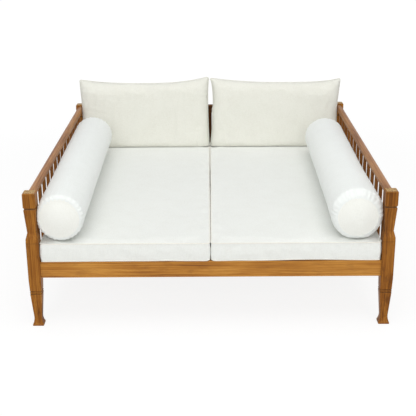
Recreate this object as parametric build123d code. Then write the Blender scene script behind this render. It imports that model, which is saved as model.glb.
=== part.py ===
from build123d import *
import math
import os

# Outdoor daybed: a timber frame with four carved posts, slatted arms and back, a slatted seat deck,
# two box seat cushions, two knife-edge back pillows and two bolsters, all loose.
# Millimetres, +Z up, +X to the right as seen from the open front, which faces -Y.
# The origin is the middle of the footprint on the ground.

# Driving dimensions of the frame
overall_width = 1630.0
overall_depth = 1730.0
post_height = 637.0
post_width = 56.0
seat_level = 312.0
seat_rail_height = 76.0
seat_rail_thickness = 26.0
front_rail_reveal = 8.0

# Carved post: heights above the ground and widths across the flats
foot_width = 50.0
foot_edge_height = 5.0
foot_flare_height = 20.0
foot_flare_width = 39.0
ankle_height = 44.0
ankle_width = 35.0
lower_leg_width = 52.0
leg_groove_height = 159.5
leg_groove_spacing = 11.0
leg_groove_depth = 2.6
leg_groove_opening = 5.0
leg_taper_start = 226.0
shoulder_edge_height = 404.0
shoulder_height = 423.0
shoulder_width = 54.4
neck_height = 452.0
neck_width = 38.0
neck_top_width = 54.0
neck_groove_height = 565.0
neck_groove_depth = 3.4
neck_groove_opening = 11.0
block_edge = 1.4
post_top_chamfer = 4.0
post_corner_chamfer = 2.2

# Joinery
tenon_length = 20.0
tenon_thickness = 10.0
seat_tenon_height = 36.0
seat_tenon_drop = 12.0
glue_gap = 0.2
mortise_end_gap = 1.0
cut_overrun = 5.0

# Arm and back rails with their upright slats
arm_rail_diameter = 36.0
arm_rail_drop = 7.0
arm_tenon_diameter = 20.0
back_rail_height = 50.0
back_rail_thickness = 28.0
back_rail_round = 9.0
back_tenon_height = 32.0
slat_width = 24.0
slat_thickness = 14.0
arm_slat_count = 14
back_slat_count = 13
slat_housing_depth = 12.0
slat_edge = 1.2
rail_edge = 2.0
rail_bottom_bevel = 3.4

# Seat deck
deck_slat_width = 80.0
deck_slat_thickness = 18.0
deck_slat_count = 14
deck_slat_end_gap = 1.5
deck_slat_edge = 2.0
ledger_height = 22.0
ledger_thickness = 22.0
ledger_end_gap = 1.0
beam_width = 34.0
beam_height = 50.0
beam_housing_depth = 10.0

# Corner blocks and fasteners
block_leg = 78.0
block_depth = 46.0
block_flat = 24.0
block_height = 32.0
block_ledger_gap = 1.5
post_notch_gap = 0.5
bolt_diameter = 8.0
bolt_post_depth = 30.0
bolt_tail = 4.0
bolt_gap = 0.1
washer_diameter = 20.0
washer_thickness = 1.6
nut_width = 13.0
nut_height = 6.5
screw_diameter = 4.0
screw_head_diameter = 8.0
screw_head_height = 3.0
screw_bite = 14.0
screw_gap = 0.1
ledger_screw_drop = 14.0
gaps_per_ledger_screw = 3

# Seat cushions
cushion_side_gap = 1.5
cushion_back_gap = 10.0
boxing_height = 85.0
crown_height = 10.0
crown_shoulder_height = 7.5
crown_shoulder_inset = 34.0
crown_inset = 94.0
cushion_side_draw = 4.0
cushion_end_draw = 5.0
boxing_bulge = 3.0
cushion_corner_radius = 14.0
foam_inset = 36.0
foam_cover = 12.0
soft_gap = 0.3

# Zip on the back boxing of each seat cushion
zip_length = 600.0
zip_tape_width = 24.0
zip_tape_thickness = 1.0
zip_recess = 2.5
coil_width = 5.0
coil_thickness = 2.2
zip_end_margin = 8.0
slider_length = 12.0
slider_wall = 1.4
pull_length = 14.0
pull_width = 5.0
pull_thickness = 1.4

# Bolsters
bolster_diameter = 222.0
bolster_end_diameter = 217.0
bolster_end_puff = 24.0
bolster_front_gap = 3.0
bolster_back_gap = 236.0
bolster_post_gap = 1.5
bolster_rail_gap = 0.5
bolster_fill_inset = 16.0

# Back pillows
pillow_height = 404.0
pillow_thickness = 136.0
pillow_centre_gap = 6.0
pillow_rail_gap = 1.5
pillow_top_dip = 24.0
pillow_side_draw = 15.0
pillow_bottom_draw = 6.0
pillow_seat_squash = 8.0
pillow_fill_end_inset = 97.0
pillow_fill_edge_inset = 57.0
pillow_fill_thickness = 84.0
pillow_lean = 9.5
pillow_level_shares = (0.0, 0.52, 0.85, 1.0)
pillow_corner_shares = (0.0, 0.16, 0.38, 0.62)
pillow_middle_shares = (0.0, 0.05, 0.17, 0.3)

# Sizes that follow
half_width = overall_width / 2
half_depth = overall_depth / 2
post_x = half_width - post_width / 2
post_y = half_depth - post_width / 2
inner_x = half_width - post_width
inner_y = half_depth - post_width
front_rail_y = -half_depth + front_rail_reveal + seat_rail_thickness / 2
seat_rail_middle = seat_level - seat_rail_height / 2
seat_tenon_level = seat_level - seat_tenon_drop - seat_tenon_height / 2
rail_top = post_height - arm_rail_drop
arm_rail_level = rail_top - arm_rail_diameter / 2
arm_rail_bottom = rail_top - arm_rail_diameter
back_rail_bottom = rail_top - back_rail_height
back_rail_level = rail_top - back_rail_height / 2
side_rail_inside = post_x - seat_rail_thickness / 2
front_rail_inside = front_rail_y + seat_rail_thickness / 2
back_rail_inside = post_y - seat_rail_thickness / 2
deck_underside = seat_level - deck_slat_thickness
ledger_bottom = deck_underside - ledger_height
ledger_x = side_rail_inside - ledger_thickness / 2
block_level = ledger_bottom - block_ledger_gap - block_height / 2
root_two = math.sqrt(2)

cushion_width = inner_x - 2 * cushion_side_gap
cushion_x = cushion_side_gap + cushion_width / 2
cushion_front = -half_depth + front_rail_reveal
cushion_back = post_y - back_rail_thickness / 2 - cushion_back_gap
cushion_length = cushion_back - cushion_front
cushion_y = (cushion_back + cushion_front) / 2
seat_top = seat_level + boxing_height + crown_height
zip_level = seat_level + boxing_height / 2
zip_floor = cushion_back - cushion_end_draw - zip_recess

bolster_front = cushion_front + bolster_front_gap
bolster_length = inner_y - bolster_back_gap - bolster_front
bolster_front_x = inner_x - bolster_post_gap - bolster_end_diameter / 2
bolster_back_x = post_x - (arm_rail_diameter + bolster_end_diameter) / 2 - bolster_rail_gap
bolster_splay = math.degrees(math.asin((bolster_back_x - bolster_front_x) / bolster_length))
bolster_x = (bolster_front_x + bolster_back_x) / 2
bolster_y = bolster_front + bolster_length / 2
bolster_level = seat_top + soft_gap + bolster_diameter / 2

pillow_width = post_x - arm_rail_diameter / 2 - pillow_rail_gap - pillow_centre_gap / 2
pillow_x = (pillow_centre_gap + pillow_width) / 2
pillow_fill_length = pillow_width - 2 * pillow_fill_end_inset
pillow_fill_height = pillow_height - 2 * pillow_fill_edge_inset
pillow_back_limit = post_y - back_rail_thickness / 2 - soft_gap


def write(shape, node):
    export_step(shape, "parts/" + node + ".step")


def write_pair(shape, node):
    """A piece made on the right, and its mirror image on the left."""
    write(shape, "right_" + node)
    write(mirrored(shape), "left_" + node)


def mirrored(shape):
    return mirror(shape, about=Plane.YZ)


def box_between(low, high):
    size = [high[i] - low[i] for i in range(3)]
    middle = [(high[i] + low[i]) / 2 for i in range(3)]
    return Pos(*middle) * Box(*size)


def polygon(points):
    return make_face(Polyline(*points, close=True))


def even_places(low, high, width, count):
    """Centres of equal pieces spread with equal gaps between two faces."""
    gap = (high - low - count * width) / (count + 1)
    return [low + gap + width / 2 + i * (width + gap) for i in range(count)]


# Carved posts

def v_groove(width, level, depth, opening):
    """Outline points of one V cut in a face, from its lower edge to its upper one."""
    half = width / 2
    return [(half, level - opening / 2), (half - depth, level), (half, level + opening / 2)]


def post_outline(distance):
    """Half of the post's carved outline. distance turns half a width into the outline's own distance."""
    block = post_width / 2
    block_bottom = neck_groove_height + neck_groove_opening / 2 + block_edge
    upper_groove_height = leg_groove_height + leg_groove_spacing
    stations = [
        (ankle_width / 2, ankle_height),
        *v_groove(lower_leg_width, leg_groove_height, leg_groove_depth, leg_groove_opening),
        *v_groove(lower_leg_width, upper_groove_height, leg_groove_depth, leg_groove_opening),
        (block, leg_taper_start),
        (block, shoulder_edge_height),
        (shoulder_width / 2, shoulder_height),
        (neck_width / 2, neck_height),
        *v_groove(neck_top_width, neck_groove_height, neck_groove_depth, neck_groove_opening),
        (block, block_bottom),
        (block, post_height - post_top_chamfer),
        (block - post_top_chamfer, post_height),
    ]
    points = [(distance(half), level) for half, level in stations]
    foot = (distance(foot_width / 2), foot_edge_height)
    flare = (distance(foot_flare_width / 2), foot_flare_height)
    outline = Curve() + [
        Polyline((0, 0), (foot[0], 0), foot),
        ThreePointArc(foot, flare, points[0]),
        Polyline(*points, (0, post_height), (0, 0)),
    ]
    return make_face(outline)


def sawn(outline):
    """The outline swept through the timber, as a saw cuts it from one side."""
    half = extrude(Plane.XZ * outline, amount=post_width, both=True)
    return half + mirrored(half)


def post_blank():
    flats = sawn(post_outline(lambda half: half))
    corners = sawn(post_outline(lambda half: (2 * half - post_corner_chamfer) / root_two))
    post = flats & (Rot(0, 0, 90) * flats)
    return post & (Rot(0, 0, 45) * corners) & (Rot(0, 0, -45) * corners)


def flat_tenon(height, clearance=0.0):
    """A tenon along +X from its shoulder at the origin, or its mortise when it has a clearance."""
    length = tenon_length + (mortise_end_gap if clearance else 0)
    return Pos(length / 2, 0, 0) * Box(length, tenon_thickness + 2 * clearance, height + 2 * clearance)


def round_tenon(clearance=0.0):
    length = tenon_length + (mortise_end_gap if clearance else 0)
    return Pos(length / 2, 0, 0) * Rot(0, 90, 0) * Cylinder(arm_tenon_diameter / 2 + clearance, length)


def along_y(end):
    """Turns a tenon from +X towards the front posts (end -1) or the back posts (end 1)."""
    return Pos(post_x, end * inner_y, 0) * Rot(0, 0, 90 * end)


def post(end, cross_rail_y):
    """Front (end -1) or back (end 1) post on the right, with the mortises of what it carries."""
    timber = Pos(post_x, end * post_y, 0) * post_blank()
    timber -= Pos(inner_x, cross_rail_y, seat_tenon_level) * flat_tenon(seat_tenon_height, glue_gap)
    timber -= Pos(0, 0, seat_tenon_level) * along_y(end) * flat_tenon(seat_tenon_height, glue_gap)
    timber -= Pos(0, 0, arm_rail_level) * along_y(end) * round_tenon(glue_gap)
    return timber - bolt_hole(end)


def front_post():
    return post(-1, front_rail_y)


def back_post():
    timber = post(1, post_y)
    return timber - Pos(inner_x, post_y, back_rail_level) * flat_tenon(back_tenon_height, glue_gap)


# Rails

def rail_along_x(section, length, tenon):
    """A rail along X about its middle, from its section in YZ and the tenon of each end."""
    rail = extrude(Plane.YZ * section, amount=length / 2, both=True)
    end = Pos(length / 2, 0, 0) * tenon
    return rail + end + mirrored(end)


def seat_rail_section(outer_bevel):
    """Section with eased edges. outer_bevel is the lower edge on the outer side."""
    half = seat_rail_thickness / 2
    top = seat_rail_height / 2
    return polygon([
        (-half + rail_edge, top),
        (half - rail_edge, top),
        (half, top - rail_edge),
        (half, -top + rail_edge),
        (half - rail_edge, -top),
        (-half + outer_bevel, -top),
        (-half, -top + outer_bevel),
        (-half, top - rail_edge),
    ])


def seat_rail(length, outer_bevel):
    tenon = Pos(0, 0, seat_tenon_level - seat_rail_middle) * flat_tenon(seat_tenon_height)
    return rail_along_x(seat_rail_section(outer_bevel), length, tenon)


def front_seat_rail():
    rail = Pos(0, front_rail_y, seat_rail_middle) * seat_rail(2 * inner_x, rail_bottom_bevel)
    rail -= centre_beam_body(glue_gap)
    screw_hole = block_screws(-1, screw_gap)[0]
    return rail - screw_hole - mirrored(screw_hole)


def back_seat_rail():
    rail = Pos(0, post_y, seat_rail_middle) * seat_rail(2 * inner_x, rail_edge)
    rail -= centre_beam_body(glue_gap)
    for x in back_slat_places():
        rail -= Pos(x, post_y, seat_level) * Rot(0, 0, 90) * slat_housing()
    screw_hole = block_screws(1, screw_gap)[0]
    return rail - screw_hole - mirrored(screw_hole)


def side_seat_rail():
    rail = Pos(post_x, 0, seat_rail_middle) * Rot(0, 0, 90) * seat_rail(2 * inner_y, rail_edge)
    for y in arm_slat_places():
        rail -= Pos(post_x, y, seat_level) * slat_housing()
    for y in ledger_screw_places():
        rail -= ledger_screw(y, screw_gap)
    for end in (-1, 1):
        rail -= block_screws(end, screw_gap)[1]
    return rail


def arm_rail():
    rail = Rot(0, 90, 0) * Cylinder(arm_rail_diameter / 2, 2 * inner_y)
    tenon = Pos(inner_y, 0, 0) * round_tenon()
    rail = Pos(post_x, 0, arm_rail_level) * Rot(0, 0, 90) * (rail + tenon + mirrored(tenon))
    for y in arm_slat_places():
        rail -= Pos(post_x, y, arm_rail_bottom) * slat_housing()
    return rail


def back_top_rail():
    section = RectangleRounded(back_rail_thickness, back_rail_height, back_rail_round)
    rail = rail_along_x(section, 2 * inner_x, flat_tenon(back_tenon_height))
    rail = Pos(0, post_y, back_rail_level) * rail
    for x in back_slat_places():
        rail -= Pos(x, post_y, back_rail_bottom) * Rot(0, 0, 90) * slat_housing()
    return rail


# Upright slats of the arms and back

def arm_slat_places():
    return even_places(-inner_y, inner_y, slat_width, arm_slat_count)


def back_slat_places():
    return even_places(-inner_x, inner_x, slat_width, back_slat_count)


def slat_housing():
    """Pocket for a slat's end, centred on the edge it is cut in. The slat's wide face lies along Y."""
    width = slat_width + 2 * glue_gap
    return Box(slat_thickness + 2 * glue_gap, width, 2 * slat_housing_depth)


def upright_slat(top_edge):
    """A slat housed in the seat rail and in the rail whose lower edge is at top_edge."""
    low = seat_level - slat_housing_depth
    high = top_edge + slat_housing_depth
    bar = Box(slat_thickness, slat_width, high - low)
    bar = chamfer(bar.edges().filter_by(Axis.Z), slat_edge)
    return Pos(0, 0, (low + high) / 2) * bar


def arm_slats():
    one = upright_slat(arm_rail_bottom)
    return Compound(children=[Pos(post_x, y, 0) * one for y in arm_slat_places()])


def back_slats():
    one = Rot(0, 0, 90) * upright_slat(back_rail_bottom)
    return Compound(children=[Pos(x, post_y, 0) * one for x in back_slat_places()])


# Seat deck

def deck_slat_places():
    return even_places(front_rail_inside, back_rail_inside, deck_slat_width, deck_slat_count)


def screw(length, clearance=0.0):
    """A countersunk screw pointing down from its flush head at the origin, or its hole."""
    radius = screw_diameter / 2 + clearance
    cone_height = screw_head_height + clearance
    cone = Cone(radius, screw_head_diameter / 2 + clearance, cone_height)
    shank = Cylinder(radius, length + clearance)
    return Pos(0, 0, -cone_height / 2) * cone + Pos(0, 0, -(length + clearance) / 2) * shank


def deck_screw(x, y, clearance=0.0):
    return Pos(x, y, seat_level) * screw(deck_slat_thickness + screw_bite, clearance)


def deck_slat(y):
    board = Box(2 * (side_rail_inside - deck_slat_end_gap), deck_slat_width, deck_slat_thickness)
    board = chamfer(board.edges().filter_by(Axis.X).group_by(Axis.Z)[-1], deck_slat_edge)
    board = Pos(0, y, seat_level - deck_slat_thickness / 2) * board
    for x in (-ledger_x, 0, ledger_x):
        board -= deck_screw(x, y, screw_gap)
    return board


def centre_beam_body(clearance=0.0):
    """The beam under the slats from front to back, or its housing, which is open at the rails' top."""
    half = beam_width / 2 + clearance
    reach = beam_housing_depth + clearance
    top = deck_underside + (deck_slat_thickness + cut_overrun if clearance else 0)
    low = (-half, front_rail_inside - reach, deck_underside - beam_height - clearance)
    return box_between(low, (half, back_rail_inside + reach, top))


def centre_beam():
    beam = centre_beam_body()
    for y in deck_slat_places():
        beam -= deck_screw(0, y, screw_gap)
    return beam


def ledger_screw_places():
    """Between the deck slats, one gap in every few."""
    slats = deck_slat_places()
    gaps = [(slats[i] + slats[i + 1]) / 2 for i in range(len(slats) - 1)]
    return gaps[::gaps_per_ledger_screw]


def ledger_screw(y, clearance=0.0):
    """A screw through the ledger into the side rail, along +X."""
    inside = side_rail_inside - ledger_thickness
    level = deck_underside - ledger_screw_drop
    return Pos(inside, y, level) * Rot(0, -90, 0) * screw(ledger_thickness + screw_bite, clearance)


def slat_ledger():
    reach = inner_y - ledger_end_gap
    low = (side_rail_inside - ledger_thickness, -reach, ledger_bottom)
    ledger = box_between(low, (side_rail_inside, reach, deck_underside))
    for y in deck_slat_places():
        ledger -= deck_screw(ledger_x, y, screw_gap)
    for y in ledger_screw_places():
        ledger -= ledger_screw(y, screw_gap)
    return ledger


# Corner blocks with their hanger bolts

def corner_place(u, v, end):
    """The point u inside the post's inner corner along X and v inside it along Y."""
    return (inner_x - u, end * (inner_y - v))


def cross_step(end):
    """How far outside the post's inner corner the front (end -1) or back (end 1) rail's face lies."""
    return (back_rail_inside if end > 0 else -front_rail_inside) - inner_y


def block_flat_depth():
    """Distance of the block's end flats inside the post's inner corner."""
    return block_depth * root_two - block_leg + block_flat


def corner_block(end):
    """Brace across a corner: flat ends on both rails, notched round the post, inner face at 45 degrees."""
    side = inner_x - side_rail_inside
    cross = -cross_step(end)
    flat = block_flat_depth()
    turn = block_leg - block_flat
    places = [
        (side, block_leg),
        (side, post_notch_gap),
        (post_notch_gap, post_notch_gap),
        (post_notch_gap, cross),
        (block_leg, cross),
        (block_leg, flat),
        (turn, flat),
        (flat, turn),
        (flat, block_leg),
    ]
    plan = polygon([corner_place(u, v, end) for u, v in places])
    brace = extrude(plan, amount=block_height / 2, both=True)
    brace = Pos(0, 0, block_level) * brace
    for hole in block_screws(end, screw_gap):
        brace -= hole
    return brace - bolt_hole(end)


def block_screws(end, clearance=0.0):
    """One screw from the block into the cross rail and one into the side rail."""
    flat = block_flat_depth()
    middle = block_leg - block_flat / 2
    cross_start = (*corner_place(middle, flat, end), block_level)
    side_start = (*corner_place(flat, middle, end), block_level)
    cross_length = flat + cross_step(end) + screw_bite
    side_length = flat + side_rail_inside - inner_x + screw_bite
    into_cross = Pos(*cross_start) * Rot(90 * end, 0, 0) * screw(cross_length, clearance)
    into_side = Pos(*side_start) * Rot(0, -90, 0) * screw(side_length, clearance)
    return into_cross, into_side


def on_bolt(end, low, high, shape_of):
    """A round or six-sided piece on the hanger bolt's line, from low to high past the post's corner."""
    line = Pos(*corner_place(0, 0, end), block_level) * Rot(0, 0, 45 * end)
    return line * Pos((low + high) / 2, 0, 0) * Rot(0, 90, 0) * shape_of(high - low)


def bolt_hole(end):
    radius = bolt_diameter / 2 + bolt_gap
    low = -block_depth - cut_overrun
    return on_bolt(end, low, bolt_post_depth + mortise_end_gap, lambda length: Cylinder(radius, length))


def hanger_bolt(end):
    low = -block_depth - washer_thickness - nut_height - bolt_tail
    return on_bolt(end, low, bolt_post_depth, lambda length: Cylinder(bolt_diameter / 2, length))


def bored(face, length):
    """A plate with a clearance hole for the bolt."""
    plate = extrude(face, amount=length / 2, both=True)
    return plate - Cylinder(bolt_diameter / 2 + bolt_gap, length + cut_overrun)


def hanger_washer(end):
    low = -block_depth - washer_thickness
    return on_bolt(end, low, -block_depth, lambda length: bored(Circle(washer_diameter / 2), length))


def hanger_nut(end):
    high = -block_depth - washer_thickness
    hexagon = RegularPolygon(nut_width / 2, 6, major_radius=False)
    return on_bolt(end, high - nut_height, high, lambda length: bored(hexagon, length))


def all_corners(piece):
    """One piece of its kind at each of the four corners."""
    pieces = [piece(end) for end in (-1, 1)]
    return Compound(children=pieces + [mirrored(one) for one in pieces])


def all_block_screws():
    pieces = [one for end in (-1, 1) for one in block_screws(end)]
    return Compound(children=pieces + [mirrored(one) for one in pieces])


def all_deck_screws():
    rows = (-ledger_x, 0, ledger_x)
    return Compound(children=[deck_screw(x, y) for y in deck_slat_places() for x in rows])


def all_ledger_screws():
    pieces = [ledger_screw(y) for y in ledger_screw_places()]
    return Compound(children=pieces + [mirrored(one) for one in pieces])


# Seat cushions

def cushion_outline(level, inset):
    """Plan of the seat cushion: four corner arcs joined by sides that are drawn in."""
    half_x = cushion_width / 2 - inset
    half_y = cushion_length / 2 - inset
    radius = cushion_corner_radius
    rise = radius / root_two
    edges = []
    for sx, sy in ((1, 1), (-1, 1), (-1, -1), (1, -1)):
        side = (sx * half_x, sy * (half_y - radius))
        end = (sx * (half_x - radius), sy * half_y)
        middle = (sx * (half_x - radius + rise), sy * (half_y - radius + rise))
        edges.append(ThreePointArc(side, middle, end))
    draw_x = (half_x - cushion_side_draw, 0)
    draw_y = (0, half_y - cushion_end_draw)
    corner_x = half_x - radius
    corner_y = half_y - radius
    edges.append(ThreePointArc((corner_x, half_y), draw_y, (-corner_x, half_y)))
    edges.append(ThreePointArc((-half_x, corner_y), (-draw_x[0], 0), (-half_x, -corner_y)))
    edges.append(ThreePointArc((-corner_x, -half_y), (0, -draw_y[1]), (corner_x, -half_y)))
    edges.append(ThreePointArc((half_x, -corner_y), draw_x, (half_x, corner_y)))
    return Pos(cushion_x, cushion_y, level) * make_face(Curve() + edges)


def seat_cushion_form():
    top_seam = seat_level + boxing_height
    boxing = loft([
        cushion_outline(seat_level, boxing_bulge),
        cushion_outline(zip_level, 0),
        cushion_outline(top_seam, boxing_bulge),
    ])
    crown = loft([
        cushion_outline(top_seam, boxing_bulge),
        cushion_outline(top_seam + crown_shoulder_height, crown_shoulder_inset),
        cushion_outline(seat_top, crown_inset),
    ])
    trim = box_between((0, -half_depth, top_seam), (half_width, half_depth, seat_top))
    return boxing + (crown & trim)


def seat_foam(clearance=0.0):
    grow = 2 * clearance
    size = (cushion_width - 2 * foam_inset + grow, cushion_length - 2 * foam_inset + grow)
    height = boxing_height - 2 * foam_cover + grow
    return Pos(cushion_x, cushion_y, zip_level) * Box(*size, height)


def seat_cushion_cover():
    half_length = zip_length / 2 + zip_end_margin + soft_gap
    half_height = zip_tape_width / 2 + soft_gap
    low = (cushion_x - half_length, zip_floor, zip_level - half_height)
    pocket = box_between(low, (cushion_x + half_length, half_depth, zip_level + half_height))
    return seat_cushion_form() - seat_foam(soft_gap) - pocket


def seat_zip():
    """Tape and closed coil, flat on the bottom of the cover's pocket."""
    tape = Box(zip_length + 2 * zip_end_margin, zip_tape_thickness, zip_tape_width)
    coil = Box(zip_length, coil_thickness, coil_width)
    coil_y = zip_tape_thickness + coil_thickness / 2
    closed = Pos(0, zip_tape_thickness / 2, 0) * tape + Pos(0, coil_y, 0) * coil
    return Pos(cushion_x, zip_floor, zip_level) * closed


def zip_slider():
    """Slider round the coil, closed at the outer end of the zip, with its pull hanging down."""
    inside_width = coil_width + 2 * soft_gap
    inside_depth = coil_thickness + 2 * soft_gap
    body = Box(slider_length, inside_depth + slider_wall - soft_gap, inside_width + 2 * slider_wall)
    body_y = zip_tape_thickness + soft_gap + (inside_depth + slider_wall - soft_gap) / 2
    channel = Box(slider_length + cut_overrun, inside_depth, inside_width)
    slider = Pos(0, body_y, 0) * body - Pos(0, zip_tape_thickness + inside_depth / 2, 0) * channel
    front = zip_tape_thickness + inside_depth + slider_wall
    pull = Box(pull_width, pull_thickness, pull_length)
    pull = chamfer(pull.edges().filter_by(Axis.Y), pull_width / 4)
    slider += Pos(0, front + pull_thickness / 2, -pull_length / 2 + coil_width / 2) * pull
    start = cushion_x + zip_length / 2 - slider_length / 2
    return Pos(start, zip_floor, zip_level) * slider


# Bolsters

def bolster_end():
    """Puffed end of the bolster: a shallow spherical cap on the end seam, out along +Y."""
    seam = bolster_end_diameter / 2
    radius = (seam ** 2 + bolster_end_puff ** 2) / (2 * bolster_end_puff)
    half_angle = math.asin(seam / radius) / 2
    middle = (radius * math.sin(half_angle), bolster_end_puff - radius * (1 - math.cos(half_angle)))
    cap = Curve() + [
        ThreePointArc((seam, 0), middle, (0, bolster_end_puff)),
        Polyline((0, bolster_end_puff), (0, 0), (seam, 0)),
    ]
    return revolve(make_face(cap), Axis.Y)


def bolster_place():
    """Middle of the bolster, whose front end is turned in to pass the front post."""
    return Pos(bolster_x, bolster_y, bolster_level) * Rot(0, 0, -bolster_splay)


def bolster_form():
    """Round bolster along Y: a slightly swollen barrel with puffed ends."""
    seam = bolster_length / 2 - bolster_end_puff
    radius = bolster_end_diameter / 2
    profile = Curve() + [
        ThreePointArc((radius, -seam), (bolster_diameter / 2, 0), (radius, seam)),
        Polyline((radius, seam), (0, seam), (0, -seam), (radius, -seam)),
    ]
    end = Pos(0, seam, 0) * bolster_end()
    barrel = revolve(make_face(profile), Axis.Y) + end + mirror(end, about=Plane.XZ)
    return bolster_place() * barrel


def bolster_fill(clearance=0.0):
    radius = bolster_end_diameter / 2 - bolster_fill_inset + clearance
    length = bolster_length - 2 * (bolster_end_puff + bolster_fill_inset) + 2 * clearance
    return bolster_place() * Rot(90, 0, 0) * Cylinder(radius, length)


# Back pillows

def pillow_outline(index, side):
    """One slice of the pillow, parallel to its seam: pointed corners and sides drawn in by arcs."""
    corner = pillow_corner_shares[index] * pillow_height / 2
    middle = pillow_middle_shares[index] * pillow_height / 2
    depth = side * pillow_level_shares[index] * pillow_thickness / 2
    x = pillow_width / 2 - corner
    top = pillow_height / 2 - corner
    side_middle = pillow_width / 2 - pillow_side_draw - middle
    top_middle = pillow_height / 2 - pillow_top_dip - middle
    bottom_middle = -pillow_height / 2 + pillow_bottom_draw + middle
    outline = Curve() + [
        ThreePointArc((-x, top), (0, top_middle), (x, top)),
        ThreePointArc((x, top), (side_middle, 0), (x, -top)),
        ThreePointArc((x, -top), (0, bottom_middle), (-x, -top)),
        ThreePointArc((-x, -top), (-side_middle, 0), (-x, top)),
    ]
    return Plane.XZ.offset(depth) * make_face(outline)


def pillow_fill_lens(clearance=0.0):
    """Fibre pad inside the pillow: two arcs in section, the same all along."""
    half = pillow_fill_height / 2 + clearance
    thick = pillow_fill_thickness / 2 + clearance
    lens = make_face(Curve() + [
        ThreePointArc((0, -half), (thick, 0), (0, half)),
        ThreePointArc((0, half), (-thick, 0), (0, -half)),
    ])
    return extrude(Plane.YZ * lens, amount=pillow_fill_length / 2 + clearance, both=True)


def pillow_form():
    slices = range(len(pillow_level_shares))
    halves = [loft([pillow_outline(index, side) for index in slices]) for side in (-1, 1)]
    return halves[0] + halves[1]


def pillow_place():
    """Stands the pillow on the seat, leaning back so that it just clears the top rail."""
    rise = pillow_height / 2 * math.cos(math.radians(pillow_lean)) - pillow_seat_squash
    leaning = Pos(pillow_x, 0, seat_top + soft_gap + rise) * Rot(-pillow_lean, 0, 0)
    below_rail = box_between((0, -half_depth, 0), (overall_width, half_depth, rail_top))
    reach = (leaning * pillow_form() & below_rail).bounding_box().max.Y
    return Pos(0, pillow_back_limit - reach, 0) * leaning


def back_pillow_cover():
    """Its lower edge is flattened where it rests on the seat."""
    under_seat = box_between((0, -half_depth, 0), (overall_width, half_depth, seat_top + soft_gap))
    return pillow_place() * (pillow_form() - pillow_fill_lens(soft_gap)) - under_seat


def back_pillow_fill():
    return pillow_place() * pillow_fill_lens()


os.makedirs("parts", exist_ok=True)

write_pair(front_post(), "front_post")
write_pair(back_post(), "back_post")
write(front_seat_rail(), "front_seat_rail")
write(back_seat_rail(), "back_seat_rail")
write_pair(side_seat_rail(), "seat_rail")
write_pair(arm_rail(), "arm_rail")
write(back_top_rail(), "back_top_rail")
write_pair(arm_slats(), "arm_slats")
write(back_slats(), "back_slats")

write(centre_beam(), "centre_beam")
write_pair(slat_ledger(), "slat_ledger")
for index, y in enumerate(deck_slat_places(), start=1):
    write(deck_slat(y), f"seat_slat_{index:02d}")

write_pair(corner_block(-1), "front_corner_block")
write_pair(corner_block(1), "back_corner_block")
write(all_corners(hanger_bolt), "hanger_bolts")
write(all_corners(hanger_washer), "hanger_washers")
write(all_corners(hanger_nut), "hanger_nuts")
write(all_block_screws(), "corner_block_screws")
write(all_deck_screws(), "seat_slat_screws")
write(all_ledger_screws(), "ledger_screws")

write_pair(seat_cushion_cover(), "seat_cushion_cover")
write_pair(seat_foam(), "seat_cushion_foam")
write_pair(seat_zip(), "seat_zip")
write_pair(zip_slider(), "zip_slider")
write_pair(bolster_form() - bolster_fill(soft_gap), "bolster_cover")
write_pair(bolster_fill(), "bolster_fill")
write_pair(back_pillow_cover(), "back_pillow_cover")
write_pair(back_pillow_fill(), "back_pillow_fill")
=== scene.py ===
import math

import bmesh
import bpy
import numpy as np
from mathutils import Matrix, Vector


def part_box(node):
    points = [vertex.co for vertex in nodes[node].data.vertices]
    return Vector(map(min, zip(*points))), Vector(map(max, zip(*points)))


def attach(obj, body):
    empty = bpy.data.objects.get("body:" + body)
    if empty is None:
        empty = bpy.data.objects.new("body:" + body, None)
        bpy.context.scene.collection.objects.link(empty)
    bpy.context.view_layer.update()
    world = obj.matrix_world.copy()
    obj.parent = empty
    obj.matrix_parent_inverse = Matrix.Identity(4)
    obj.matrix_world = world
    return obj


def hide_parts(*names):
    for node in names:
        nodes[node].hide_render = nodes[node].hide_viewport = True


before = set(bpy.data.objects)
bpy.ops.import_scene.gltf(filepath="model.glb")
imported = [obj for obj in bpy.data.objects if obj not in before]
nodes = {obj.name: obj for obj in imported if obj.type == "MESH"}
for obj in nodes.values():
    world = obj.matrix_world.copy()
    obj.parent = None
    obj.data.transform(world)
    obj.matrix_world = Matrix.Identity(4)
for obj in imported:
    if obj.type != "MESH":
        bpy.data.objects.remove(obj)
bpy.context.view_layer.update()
sides = {"left": -1, "right": 1}
print("frame loaded:", len(nodes), "nodes")

# The camera comes first

cameraView = {
    "focalShare": 2.13567,  # focal length over the width of the picture
    "sensor": 36.0,  # millimetres
    "place": (-0.0006, -4.49506, 1.86944),
    "pitch": 19.7307,  # degrees below the horizon
    "yaw": -0.1477,
    "roll": -0.3884,
    "clipEnd": 200.0,
}


def makeCamera(view):
    pitch, yaw, roll = (math.radians(view[name]) for name in ("pitch", "yaw", "roll"))
    forward = Vector((math.sin(yaw) * math.cos(pitch), math.cos(yaw) * math.cos(pitch), -math.sin(pitch)))
    right = Vector((math.cos(yaw), -math.sin(yaw), 0.0))
    up = right.cross(forward)
    rolledRight = math.cos(roll) * right + math.sin(roll) * up
    rolledUp = math.cos(roll) * up - math.sin(roll) * right
    data = bpy.data.cameras.new("camera")
    data.sensor_width = view["sensor"]
    data.lens = view["focalShare"] * view["sensor"]
    data.clip_end = view["clipEnd"]
    camera = bpy.data.objects.new("camera", data)
    bpy.context.scene.collection.objects.link(camera)
    turn = Matrix((rolledRight, rolledUp, -forward)).transposed().to_4x4()
    camera.matrix_world = Matrix.Translation(view["place"]) @ turn
    bpy.context.scene.camera = camera


makeCamera(cameraView)
print("camera made")

# Small helpers for shader nodes


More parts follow.
